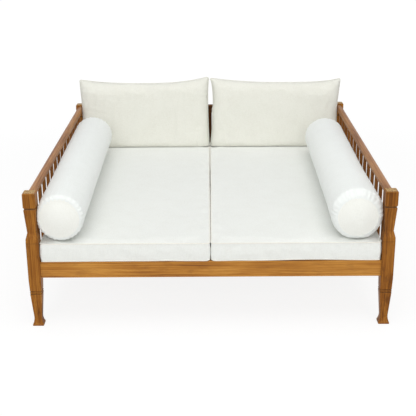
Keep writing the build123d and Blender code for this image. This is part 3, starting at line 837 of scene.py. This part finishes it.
def cushionPlan(half, inset, look):
    # Four borders of the plan from corner middle to corner middle: half an arc, a drawn-in side, half an arc
    radius = look["corner"]
    halfX, halfY = half[0] - inset, half[1] - inset
    arc = np.linspace(math.pi / 4, 0, look["cornerCells"] + 1)
    cornerX, cornerY = halfX - radius, halfY - radius
    # the counts of points are the same with and without the inset
    sideCount = int(round(2 * (half[1] - radius) / look["cell"]))
    endCount = int(round((half[0] - radius - look["pocketHalfLength"]) / look["cell"]))
    inner = look["pocketHalfLength"]
    stations = np.concatenate([np.linspace(-cornerX, -inner - look["pocketLip"], endCount + 1),
                               np.linspace(-inner, inner, int(round(2 * inner / look["cell"])) + 1),
                               np.linspace(inner + look["pocketLip"], cornerX, endCount + 1)])

    def border(stations, corner, depth, draw):
        # Its points' places along it and how far out they lie
        bend = np.stack([corner + radius * np.sin(arc), depth - radius + radius * np.cos(arc)], 1)
        straight = np.stack([stations, depth - draw * (1 - (stations / corner) ** 2)], 1)
        return np.vstack([bend[:-1] * (-1, 1), straight, bend[::-1][1:]])

    back = border(stations, cornerX, halfY, look["drawEnd"])
    sideStations = np.linspace(-cornerY, cornerY, sideCount + 1)
    right = border(sideStations, cornerY, halfX, look["drawSide"])[:, ::-1]
    return back * (1, -1), back, right * (-1, 1), right


def ringOf(borders):
    # One closed ring round the plan: front, right, back, left
    front, back, left, right = borders
    return np.vstack([front[:-1], right[:-1], back[::-1][:-1], left[::-1][:-1]])


def settled(places, side, look, low, high):
    # The cushion as it has been lain on: hollow top, wrinkled outer front corner, a lower seam that lifts
    places = places.copy()
    share = np.clip((places[:, 2] - low.z) / look["boxing"], 0, 1)
    onTop = fade(places[:, 2], low.z + look["boxing"] + 0.001, high.z)
    topSeed, cornerSeed = look["seeds"][side]
    hollow = smoothNoise(places * (1, 1, 0), topSeed, look["unevenSizes"], look["unevenness"])
    hollow *= 1 - fade(places[:, 1], *look["pressedFrom"])
    corner = np.array([sides[side] * max(abs(low.x), abs(high.x)), low.y])
    away = np.linalg.norm(places[:, :2] - corner, axis=1)
    drawn = places * (1, 1, look["wrinkleUpright"])
    creases = smoothNoise(drawn, cornerSeed, look["wrinkleSizes"], look["cornerWrinkle"])
    creases *= np.exp(-away / look["cornerReach"])
    lift = np.zeros(len(places))
    for middle, halfLength, height in look["lifts"][side]:
        bell = np.clip(1 - ((places[:, 0] - middle) / halfLength) ** 2, 0, None) ** 2
        lift += height * bell * np.exp(-np.clip(places[:, 1] - low.y, 0, None) / look["liftReach"])
    upright = np.sin(math.pi * share)
    depth, spacing, reach = look["cornerFolds"]
    folds = depth * np.sin(2 * math.pi * away / spacing) * np.exp(-(away / reach) ** 2) * upright
    parting, halfParting, partingDepth, partingReach = look["parting"]
    apart = partingDepth * np.clip(1 - ((places[:, 1] - parting) / halfParting) ** 2, 0, None)
    apart *= np.exp(-np.abs(places[:, 0]) / partingReach)
    places[:, 0] += sides[side] * apart
    places[:, 2] += onTop * hollow + creases * fade(share, 0.5, 1.0) + lift * (1 - share)
    places[:, 1] += creases * look["wrinkleForward"] * upright + folds
    return places


def seatCushionCover(side, look):
    low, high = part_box(f"{side}_seat_cushion_cover")
    reachX = [look["middleGap"], postInnerX - look["postGap"]]
    centre = np.array([sides[side] * sum(reachX) / 2, (low.y + high.y) / 2])
    half = np.array([(reachX[1] - reachX[0]) / 2, (high.y - low.y) / 2])
    bottomSeam, topSeam, zipLevel = (low.z + height for height in (
        look["bottomSeam"], look["boxing"], look["boxing"] / 2))
    seamPlan = cushionPlan(half, look["seamInset"], look)
    plan = coons(*seamPlan)
    shape, flat = plan.shape[:2], plan.reshape(-1, 2)
    fromEdge = np.clip(half - look["seamInset"] - np.abs(flat), 0, None)
    swell = np.prod(1 - np.exp(-fromEdge / look["crownReach"]), axis=1)
    sunk = (look["bottomSeam"] - look["underside"]) * np.clip(swell * look["undersideRise"], 0, 1)
    top = np.column_stack([flat, topSeam + look["crown"] * swell])
    bottom = np.column_stack([flat, bottomSeam - sunk])
    rows = boxingRows(look, bottomSeam, topSeam, zipLevel)
    seamRing, wideRing = ringOf(seamPlan), ringOf(cushionPlan(half, 0.0, look))
    bulge = np.sin(math.pi * (rows - bottomSeam) / (topSeam - bottomSeam))
    bulge = np.clip(bulge, 0, 1)[:, None, None] ** look["bulgePower"]
    walls = seamRing[None] * (1 - bulge) + wideRing[None] * bulge
    walls = np.concatenate([walls, np.broadcast_to(rows[:, None, None], walls.shape[:2] + (1,))], axis=2)
    kept = zipPocket(walls, look, centre, zipLevel)
    everything = np.vstack([top, bottom, walls.reshape(-1, 3)])
    everything[:, :2] += centre
    everything = settled(everything, side, look, low, high)
    piece = addMesh(f"{side}_seat_cushion", everything, gridFaces(*shape), gridFaces(*shape, start=len(top)),
                    gridFaces(len(rows), len(seamRing), start=2 * len(top), wrap=True))
    keepMarks(piece, np.concatenate([borderOf(shape), np.ones(len(bottom), bool), kept.ravel()]))
    seams = {}
    for label, level in (("seat_lower", bottomSeam), ("seat_upper", topSeam)):
        ring = np.column_stack([seamRing + centre, np.full(len(seamRing), level)])
        seams[label] = settled(resampled(ring, look["pipingStep"]), side, look, low, high)
    return piece, seams


def boxingRows(look, bottomSeam, topSeam, zipLevel):
    # Heights of the boxing's rows, with a close pair at each lip of the zip's pocket
    reach, lip = look["pocketHalfHeight"], look["pocketLip"]
    lower = np.linspace(bottomSeam, zipLevel - reach - lip, 4)
    inside = np.linspace(zipLevel - reach, zipLevel + reach, 4)
    upper = np.linspace(zipLevel + reach + lip, topSeam, 4)
    return np.concatenate([lower, inside, upper])


def zipPocket(walls, look, centre, zipLevel):
    # Sinks the back boxing round the zip and returns which of its points the simulation leaves alone
    x, y, z = walls[..., 0], walls[..., 1], walls[..., 2]
    fromX, fromZ = np.abs(x) - look["pocketHalfLength"], np.abs(z - zipLevel) - look["pocketHalfHeight"]
    atBack, slack = y > 0.5 * y.max(), look["pocketSlack"]
    y[atBack & (fromX < slack) & (fromZ < slack)] = zipFloorY - centre[1] - look["underTape"]
    slack += look["pocketLip"]
    near = atBack & (fromX < slack) & (fromZ < slack)
    near[[0, -1]] = True
    return near


def seatLimits(places, side):
    # Keeps the simulated cloth on its own side of the middle, off the posts and between slats and pillows
    low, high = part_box(f"{side}_seat_cushion_cover")
    look = seatCushion
    across, under, over = look["limitSoftness"]
    raised = softAbove(places[:, 2], low.z + look["limitGap"], under)
    places[:, 2] = softBelow(raised, high.z + look["limitGap"], over)
    outward = softAbove(sides[side] * places[:, 0], look["middleGap"], across)
    places[:, 0] = sides[side] * softBelow(outward, postInnerX - look["postGap"], across)
    return places


seatPieces = layOut(seatCushionCover, seatCushion)
print("seat cushions laid out")

# Bolsters: swollen barrels with a small domed disc sewn into each rounded end

bolster = {
    # from the middle of the bed to the axis at the front and the back; radius at front, middle and back
    "axis": {"left": (0.6620, 0.6830), "right": (0.6490, 0.6645)},
    "radius": {"left": (0.1075, 0.1070, 0.1085), "right": (0.1180, 0.1115, 0.1130)},
    "ends": {"left": (-0.8700, 0.5990), "right": (-0.8630, 0.5510)},
    "sunk": {"left": 0.0015, "right": 0.0080},  # how far its weight flattens it on the seat
    "disc": 0.0870,  # radius of the sewn disc
    "discDome": 0.022,
    "firstTurn": 0.45,  # angle at which the rounding leaves the disc
    "discRows": 8,
    "turnSteps": 7,  # from the disc's seam to the barrel
    "shoulder": {"left": 0.022, "right": 0.038},  # length of the rounding from the disc to the barrel
    "around": 160,
    "cell": 0.016,
    "gathers": 30,
    "gatherDepth": 0.0034,
    "gatherReach": 0.028,
    "gatherMiddle": 0.012,  # how far beyond the seam they are deepest
    "gatherPower": 6,  # how fast they fade towards the disc's middle
    "discGather": 0.35,  # share of their depth on the disc
    "gatherRun": 8,  # points along the seam between changes of strength
    "unevenness": (0.0018, 0.0008),
    "unevenSizes": (0.5, 0.17),
    "piping": 0.0013,
    "pipingStep": 0.008,
    "cordSides": 6,
    "pressure": 0.5, "tension": 30.0, "bending": 0.3, "excess": 0.012, "cap": 0.0022,
    "slatFace": 0.7785, "postFace": 0.7583, "postBack": -0.800,
    # heights on the post's carved neck and how much further out the bolster may swell there
    "neck": ((0.423, 0.452, 0.565), (0.0008, 0.0088, 0.0008)),
    "postFade": 0.03,
    "limitSoftness": (0.0012, 0.0010),  # at the arm and on the seat
    "limitGap": 0.0003,
    "restsBelow": 0.0012,  # points lower than this over the seat are held
    "core": "fill",
    "fill": 0.75,
    "seeds": {"left": (21, 71), "right": (22, 72)},  # the first one also sets the gathers
}


def bolsterProfile(side, look, halfLength):
    # Radius and place along the axis: domed disc, quarter ellipse, barrel curved through its three radii
    front, middle, back = look["radius"][side]
    reach = halfLength - look["discDome"] - look["shoulder"][side]
    share = np.linspace(-1, 1, int(2 * reach / look["cell"]))
    barrel = front * share * (share - 1) / 2 + middle * (1 - share ** 2) + back * share * (share + 1) / 2
    disc = np.linspace(0, 1, look["discRows"] + 1)[1:]
    firstTurn = look["firstTurn"]
    turn = np.linspace(firstTurn, math.pi / 2, look["turnSteps"] + 1)[1:-1]
    rows = []
    for end, size in ((-1, front), (1, back)):
        discRows = np.stack([look["disc"] * disc, end * (halfLength - look["discDome"] * disc ** 2)], 1)
        outwards = (np.sin(turn) - math.sin(firstTurn)) / (1 - math.sin(firstTurn))
        rounding = np.stack([look["disc"] + (size - look["disc"]) * outwards,
                             end * (reach + look["shoulder"][side] * np.cos(turn) / math.cos(firstTurn))], 1)
        rows.append(np.vstack([discRows, rounding]))
    profile = np.vstack([rows[0], np.stack([barrel, share * reach], 1), rows[1][::-1]])
    return profile[:, 0], profile[:, 1], len(disc) - 1


def bolsterShape(side, look):
    # Surface of revolution about an axis that runs a little outwards to the back, gathered at its end seams
    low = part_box(f"{side}_bolster_cover")[0]
    front, back = look["ends"][side]
    halfLength, middleY = (back - front) / 2, (front + back) / 2
    radius, along, discRow = bolsterProfile(side, look, halfLength)
    angle = np.linspace(0, 2 * math.pi, look["around"], endpoint=False)
    generator = np.random.default_rng(look["seeds"][side][0])
    gather = np.zeros((len(radius), len(angle)))
    seamPlace, run = halfLength - look["discDome"], look["gatherRun"]
    for end in (-1, 1):
        beyond = seamPlace - end * along
        near = np.exp(-np.abs(beyond - look["gatherMiddle"]) / look["gatherReach"])
        near *= np.clip(radius / look["disc"], 0, 1) ** look["gatherPower"]
        near *= np.where(beyond < 0, look["discGather"], 1.0)
        phase = np.cumsum(generator.uniform(0.5, 1.5, len(angle)))
        phase *= 2 * math.pi * look["gathers"] / phase[-1]
        strength = np.repeat(generator.uniform(0.25, 1.0, len(angle) // run), run)
        gather += look["gatherDepth"] * near[:, None] * (np.sin(phase) * strength)[None, :]
    reach = radius[:, None] + gather
    share = ((along + halfLength) / (2 * halfLength))[:, None]
    axisFront, axisBack = look["axis"][side]
    axisX = sides[side] * (axisFront + (axisBack - axisFront) * share)
    lift = low.z + np.maximum(look["radius"][side][1], radius[:, None]) - look["sunk"][side]
    x = axisX + reach * np.cos(angle)
    z = lift + reach * np.sin(angle)
    y = np.broadcast_to(middleY + along[:, None], x.shape)
    return np.stack([x, y, z], axis=-1), discRow


def bolsterLimits(places, side):
    # Flats where the bolster lies on the seat and leans on the slats and the front post
    look = bolster
    leaning, lying = look["limitSoftness"]
    places = places.copy()
    postFace = look["postFace"] + np.interp(places[:, 2], *look["neck"])
    pastPost = fade(places[:, 1], look["postBack"], look["postBack"] + look["postFade"])
    outside = postFace + (look["slatFace"] - postFace) * pastPost
    places[:, 0] = sides[side] * softBelow(sides[side] * places[:, 0], outside, leaning)
    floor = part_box(f"{side}_bolster_cover")[0].z + look["limitGap"]
    places[:, 2] = softAbove(places[:, 2], floor, lying)
    return places


def bolsterBarrel(side, look):
    grid, discRow = bolsterShape(side, look)
    shape, count = grid.shape, grid.shape[1]
    flat = grid.reshape(-1, 3)
    for axis, seed in zip((2, 0), look["seeds"][side]):
        flat[:, axis] += smoothNoise(flat, seed, look["unevenSizes"], look["unevenness"])
    flat = bolsterLimits(flat, side)
    grid = flat.reshape(shape)
    poles = np.array([grid[0].mean(axis=0), grid[-1].mean(axis=0)])
    poles[:, 1] = look["ends"][side]
    everything = np.vstack([flat, poles])
    step = np.arange(count)
    following, start = (step + 1) % count, len(flat) - count
    frontFan = np.stack([np.full(count, len(flat)), following, step], 1)
    backFan = np.stack([np.full(count, len(flat) + 1), start + step, start + following], 1)
    piece = addMesh(f"{side}_bolster", everything, gridFaces(shape[0], count, wrap=True), frontFan, backFan)
    discRows = [discRow, shape[0] - 1 - discRow]
    held = np.zeros(shape[:2], bool)
    held[discRows] = True
    resting = everything[:, 2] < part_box(f"{side}_bolster_cover")[0].z + look["restsBelow"]
    keepMarks(piece, np.concatenate([held.ravel(), [False, False]]) | resting)
    return piece, {label: resampled(grid[row], look["pipingStep"])
                   for label, row in zip(("bolster_front", "bolster_back"), discRows)}


def dressDiscs(piece, side, look):
    # The sewn discs get a lighter, warmer cloth than the barrel: a painted highlight where they face the
    # lamps
    front, back = look["ends"][side]
    piece.data.materials.append(litBolsterEnd)
    for polygon in piece.data.polygons:
        if polygon.center.y < front + look["discDome"] or polygon.center.y > back - look["discDome"]:
            polygon.material_index = 1


bolsterPieces = layOut(bolsterBarrel, bolster)
print("bolsters laid out")

# Back pillows: two panels on one seam, with ears at the corners

pillow = {
    "height": 0.404,
    "thickness": 0.134,
    "lean": 9.5,  # degrees back from upright
    "columns": 121,
    "rows": 67,
    "closer": 0.28,  # how much closer the points lie at the seams than in the middle
    "piping": 0.0021,
    "pipingStep": 0.007,
    "cordSides": 6,
    "cut": (1.03, 1.06),  # the cut panels' width and height over the sewn outline's
    "pucker": (0.00475, 0.00475),  # depths of the gathers beside the seams, for each of their sizes
    "puckerSizes": (0.046, 0.024),
    "puckerReach": 0.030,
    "puckerAlong": 0.2,  # less than 1 draws the gathers out square to the seam
    "seeds": {"left": (27, 35), "right": (28, 36)},  # for the front and the back panel
    "bottomDraw": 0.006,
    # over the seam plane's middle: the top's lowest point, then each top corner's height, power of the rise
    # towards it, and rounding radius
    "topLow": {"left": 0.1795, "right": 0.1813},
    "innerTop": {"left": (0.2190, 2.6, 0.016), "right": (0.2095, 1.85, 0.007)},
    "outerTop": {"left": (0.2040, 2.7, 0.005), "right": (0.2040, 5.0, 0.004)},
    "innerDraw": {"left": 0.0078, "right": 0.0175},
    "innerDrawPowers": (0.65, 0.8),  # less than 1 moves its deepest point up, and makes its curve fuller
    "sag": (0.011, 0.045),  # how far its foot sinks on to the seat, and how high that reaches
    "slatCover": (0.0122, 0.01),  # how far it may draw in without baring the slat, and how much more above
    "slatTop": (0.54, 0.66),  # share of the height where the top rail takes over from that slat
    "outerEar": {"left": 0.0115, "right": 0.0165},
    "outerEarPowers": (0.9, 8),  # of its growth up the side, and along the top
    "earReach": 0.140,  # how far down its side an outer ear begins
    "rise": {"side": (8.0, 0.5), "top": (4.8, 0.52), "bottom": (14.0, 0.5)},
    "pressure": 0.5, "tension": 15.0, "bending": 0.08, "excess": 0.0, "cap": 0.012,
    "core": "fill",
    "fill": 0.7,
    "limitGaps": (0.0001, 0.0006, 0.0012),  # room left to the seat, the rail and the arm
    "limitSoftness": (0.0006, 0.003, 0.002),
    "overRail": (0.001, 0.02),  # heights over the rail between which its flats fade out
}


def closer(count, share):
    # -1 to 1 in steps that shorten towards both ends
    even = np.linspace(-1, 1, count)
    return (1 - share) * even + share * np.sin(math.pi / 2 * even)


def pillowBorders(side, look, halfWidth):
    # Seam line: the top rises from its low middle to a rounded ear each side, and the sides are drawn in
    halfHeight = look["height"] / 2
    u, v = (closer(look[name], look["closer"]) for name in ("columns", "rows"))
    low = look["topLow"][side]
    topZ = np.zeros(len(u))
    corners = {}
    for end, name in ((-sides[side], "innerTop"), (sides[side], "outerTop")):
        height, power, rounding = look[name][side]
        run = np.clip(end * u, 0, 1)
        fromCorner = np.clip(rounding - (1 - run) * halfWidth, 0, rounding)
        drop = rounding - np.sqrt(rounding ** 2 - fromCorner ** 2)
        topZ += np.where(end * u >= 0, 1.0, 0.0) * ((height - low) * run ** power - drop)
        corners[name] = height - rounding
    topZ = topZ / (1 + (u == 0)) + low
    up = (v + 1) / 2
    early, full = look["innerDrawPowers"]
    drawn = look["innerDraw"][side] * np.sin(math.pi * (1 - up) ** early) ** full
    cover, coverGrowth = look["slatCover"]
    inner = halfWidth - np.minimum(drawn, cover + coverGrowth * fade(up, *look["slatTop"]))
    innerZ = up * (corners["innerTop"] + halfHeight) - halfHeight
    outerZ = up * (corners["outerTop"] + halfHeight) - halfHeight
    ear, (sidePower, topPower) = look["outerEar"][side], look["outerEarPowers"]
    outer = halfWidth + ear * np.clip(1 - (outerZ[-1] - outerZ) / look["earReach"], 0, 1) ** sidePower
    topX = halfWidth * u + sides[side] * ear * np.clip(sides[side] * u, 0, 1) ** topPower
    top = np.stack([topX, topZ], 1)
    bottom = np.stack([halfWidth * u, -halfHeight + look["bottomDraw"] * (1 - u ** 2)], 1)
    inner, outer = np.stack([inner, innerZ], 1), np.stack([outer, outerZ], 1)
    left, right = (outer, inner) if side == "left" else (inner, outer)
    return bottom, top, left * (-1, 1), right


def pillowShape(side, look):
    # Each panel's depth: one less a power of each parameter, each to a power of its own, multiplied
    low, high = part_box(f"{side}_back_pillow_cover")
    halfWidth = (high.x - low.x) / 2
    borders = pillowBorders(side, look, halfWidth)
    u, v = (closer(look[name], look["closer"]) for name in ("columns", "rows"))
    plan = coons(*borders, u=(u + 1) / 2, v=(v + 1) / 2)
    rises = {name: (1 - np.abs(u if name == "side" else v) ** power) ** root
             for name, (power, root) in look["rise"].items()}
    upright = np.where(v > 0, rises["top"], rises["bottom"])
    depth = look["thickness"] / 2 * rises["side"][None, :] * upright[:, None]
    flat = plan.reshape(-1, 2)
    sag, sagReach = look["sag"]
    flat[:, 1] -= sag * np.exp(-(flat[:, 1] + look["height"] / 2) / sagReach)
    lean = -math.radians(look["lean"])
    turn = np.array([[1, 0, 0], [0, math.cos(lean), -math.sin(lean)], [0, math.sin(lean), math.cos(lean)]])
    middleX, middleY = (low.x + high.x) / 2, (low.y + high.y) / 2
    centre = np.array([middleX, middleY, high.z - look["height"] / 2 * math.cos(lean)])

    def stood(x, y, z):
        return np.column_stack([x, y, z]) @ turn.T + centre

    # Gathers run square to each seam and fade into the panel
    reach = look["puckerReach"]
    besideTop = np.exp(-(1 - np.abs(v)) * look["height"] / 2 / reach)[:, None] * (depth > 0)
    besideEnd = np.exp(-(1 - np.abs(u)) * halfWidth / reach)[None, :] * (depth > 0)
    deep = depth.ravel()
    x, z, nought = flat[:, 0], flat[:, 1], np.zeros(len(flat))
    panels = []
    for face, seed in zip((-1, 1), look["seeds"][side]):
        puckers = 0.0
        for beside, scales, place in ((besideTop, (1, look["puckerAlong"]), seed),
                                      (besideEnd, (look["puckerAlong"], 1), seed + 1)):
            spread = np.column_stack([scales[0] * x, scales[1] * z, nought])
            puckers += beside.ravel() * smoothNoise(spread, place, look["puckerSizes"], look["pucker"])
        panels.append(stood(x, face * (deep + puckers * np.sqrt(deep / deep.max())), z))
    everything = np.vstack(panels)
    cutX, cutZ = np.broadcast_arrays(u[None, :] * halfWidth * look["cut"][0],
                                     v[:, None] * look["height"] / 2 * look["cut"][1])
    cut = stood(cutX.ravel(), np.zeros(cutX.size), cutZ.ravel())
    outline = ringOf(borders)
    ring = stood(outline[:, 0], np.zeros(len(outline)), outline[:, 1])
    grid = plan.shape[:2]
    seam = np.tile(borderOf(grid), 2)
    piece = addMesh(f"{side}_back_pillow", pillowLimits(everything, side), gridFaces(*grid),
                    gridFaces(*grid, start=len(flat)))
    keepMarks(piece, seam, np.vstack([cut, cut]))
    return piece, {"pillow": pillowLimits(resampled(ring, look["pipingStep"]), side, look["piping"])}


def pillowLimits(places, side, room=0.0):
    # Flats where the pillow stands on the seat, leans on the top rail and meets the arms
    look = pillow
    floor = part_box(f"{side}_back_pillow_cover")[0].z
    railLow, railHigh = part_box("back_top_rail")
    armInside = abs(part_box("right_arm_rail")[0].x)
    seatGap, railGap, armGap = (gap + room for gap in look["limitGaps"])
    onSeat, onRail, onArm = look["limitSoftness"]
    places = places.copy()
    places[:, 2] = softAbove(places[:, 2], floor + seatGap, onSeat)
    belowRail = 1 - fade(places[:, 2], *(railHigh.z + height for height in look["overRail"]))
    leaned = softBelow(places[:, 1], railLow.y - railGap, onRail)
    places[:, 1] += (leaned - places[:, 1]) * belowRail
    tucked = softBelow(sides[side] * places[:, 0], armInside - armGap, onArm)
    places[:, 0] += sides[side] * (tucked - sides[side] * places[:, 0]) * belowRail
    return places


pillowPieces = layOut(pillowShape, pillow)
print("back pillows laid out")

simulateAll()

softKinds = [
    # body, settings, laid out pieces, limits, cloth, piping's cloth
    ("seat_cushion", seatCushion, seatPieces, seatLimits, seatCover, pipingCover),
    ("bolster", bolster, bolsterPieces, bolsterLimits, bolsterCover, litBolsterEnd),
    ("back_pillow", pillow, pillowPieces, pillowLimits, pillowCover, pillowCover),
]


def finishSoftPieces(side):
    for kind, look, made, limits, material, pipingMaterial in softKinds:
        piece, seams = made[side]
        body = f"{side}_{kind}"
        setPoints(piece, limits(meshPoints(piece.data), side))
        finishCushion(piece, material, body, look)
        if kind == "bolster":
            dressDiscs(piece, side, look)
        for label, path in seams.items():
            addPiping(f"{side}_{label}_piping", path, look, pipingMaterial, body)


for side in sides:
    finishSoftPieces(side)
print("soft pieces finished")

# Zips on the back of the seat cushions

zipLook = {
    "toothPitch": 0.0025,
    "tapeThickness": 0.001,
    "coilHalfWidth": 0.0025,
    "coilThickness": 0.0021,
    "samples": 4,  # points along one tooth
    "coilPoints": 9,
    "ripple": 0.3,  # how much lower the coil is between two teeth
    "widthRipple": 0.1,  # share of its width that ripples too
    "coilSunk": 0.0002,
    "endRoom": 0.016,  # tape without coil, both ends together
}


def zipPiece(side, look):
    # Flat tape with a closed coil on it: half an ellipse swept along X, rippling once for each tooth
    low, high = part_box(f"{side}_seat_zip")
    middle = (low.z + high.z) / 2
    tapeFront = low.y + look["tapeThickness"]
    tape = [(x, y, z) for x in (low.x, high.x) for y in (low.y, tapeFront) for z in (low.z, high.z)]
    tapeFaces = [(0, 1, 3, 2), (4, 6, 7, 5), (0, 4, 5, 1), (2, 3, 7, 6), (0, 2, 6, 4), (1, 5, 7, 3)]
    length, count = high.x - low.x - look["endRoom"], look["coilPoints"]
    steps = int(length / look["toothPitch"]) * look["samples"]
    along = np.linspace(-length / 2, length / 2, steps + 1) + (low.x + high.x) / 2
    ripple = 1 - look["ripple"] * np.abs(np.sin(math.pi * np.arange(steps + 1) / look["samples"]))[:, None]
    width = 1 - look["widthRipple"] * (1 - ripple)
    angle = np.linspace(0, math.pi, count)[None, :]
    x = np.broadcast_to(along[:, None], (steps + 1, count))
    y = tapeFront - look["coilSunk"] + look["coilThickness"] * ripple * np.sin(angle)
    z = middle + look["coilHalfWidth"] * np.cos(angle) * width
    coil = np.stack([x, y, z], axis=-1).reshape(-1, 3)
    caps = len(tape) + np.array([np.arange(count), np.arange(count)[::-1] + steps * count])
    piece = addMesh(f"{side}_zip_tape_and_coil", np.vstack([tape, coil]), tapeFaces,
                    gridFaces(steps + 1, count, start=len(tape)), caps)
    tidyMesh(piece, 1e-6, smooth=False)
    piece.data.materials.append(zipTape)
    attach(piece, f"{side}_seat_cushion")
    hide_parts(f"{side}_seat_zip")


for side in sides:
    zipPiece(side, zipLook)
print("zips made")

# Floor, daylight and view

studio = {
    "floorHalf": 60.0,
    "floorTint": (0.93, 0.93, 0.93, 1.0),
    "floorRoughness": 0.9,
    "floorGlow": 0.84,  # share of plain white that the eye sees in the floor near the bed
    "fadeReach": (1.6, 4.5),  # distances between which the floor turns wholly white
    "white": 1.03,
    "worldTint": (0.98, 0.99, 1.0, 1.0),
    "worldLight": 0.45,
    "lampTarget": (0.0, 0.0, 0.4),
    "lamps": [
        # name, place, size, watts
        ("overhead", (0.0, -1.4, 4.5), 4.4, 121.0),
        ("front_left", (-3.0, -9.0, 4.4), 4.4, 150.0),
        ("front_right", (3.0, -9.0, 4.2), 4.4, 137.0),
    ],
}


def seenByEye(tree):
    # 1 for camera, glossy and transmitted rays, which see the white background
    path = tree.nodes.new("ShaderNodeLightPath").outputs
    either = maths(tree, "MAXIMUM", path["Is Camera Ray"], path["Is Glossy Ray"])
    return maths(tree, "MAXIMUM", either, path["Is Transmission Ray"])


def mixedIn(tree, share, shader, kind, look, output):
    # Plain white of the given kind, mixed into the shader by share
    white = addNode(tree, kind, {"Color": (1.0, 1.0, 1.0, 1.0), "Strength": look["white"]})
    mixed = addNode(tree, "ShaderNodeMixShader", {0: share, 1: shader.outputs[0], 2: white.outputs[0]})
    tree.links.new(mixed.outputs[0], tree.nodes[output].inputs["Surface"])


def makeStudio(look):
    half = look["floorHalf"]
    corners = [(-half, -half, 0.0), (half, -half, 0.0), (half, half, 0.0), (-half, half, 0.0)]
    floor = addMesh("floor", corners, [[0, 1, 2, 3]])
    material, tree, shader, place = newMaterial("floor_white")[:4]
    setInputs(tree, shader, {"Base Color": look["floorTint"], "Roughness": look["floorRoughness"]})
    away = between(tree, vectorMaths(tree, "LENGTH", place), *look["fadeReach"])
    glow = weighted(tree, look["floorGlow"], (away, 1 - look["floorGlow"]))
    share = maths(tree, "MULTIPLY", seenByEye(tree), glow)
    mixedIn(tree, share, shader, "ShaderNodeEmission", look, "Material Output")
    floor.data.materials.append(material)

    world = bpy.data.worlds.new("daylight")
    bpy.context.scene.world = world
    world.use_nodes = True
    tree = world.node_tree
    daylight = {"Color": look["worldTint"], "Strength": look["worldLight"]}
    background = setInputs(tree, tree.nodes["Background"], daylight)
    mixedIn(tree, seenByEye(tree), background, "ShaderNodeBackground", look, "World Output")

    for name, place, size, watts in look["lamps"]:
        data = bpy.data.lights.new(name, "AREA")
        data.size = size
        data.energy = watts
        lamp = bpy.data.objects.new(name, data)
        lamp.location = place
        ahead = Vector(look["lampTarget"]) - Vector(place)
        lamp.rotation_euler = ahead.to_track_quat("-Z", "Y").to_euler()
        bpy.context.scene.collection.objects.link(lamp)


makeStudio(studio)
bpy.context.scene.view_settings.view_transform = "Standard"
print("studio lit")

bpy.context.view_layer.update()
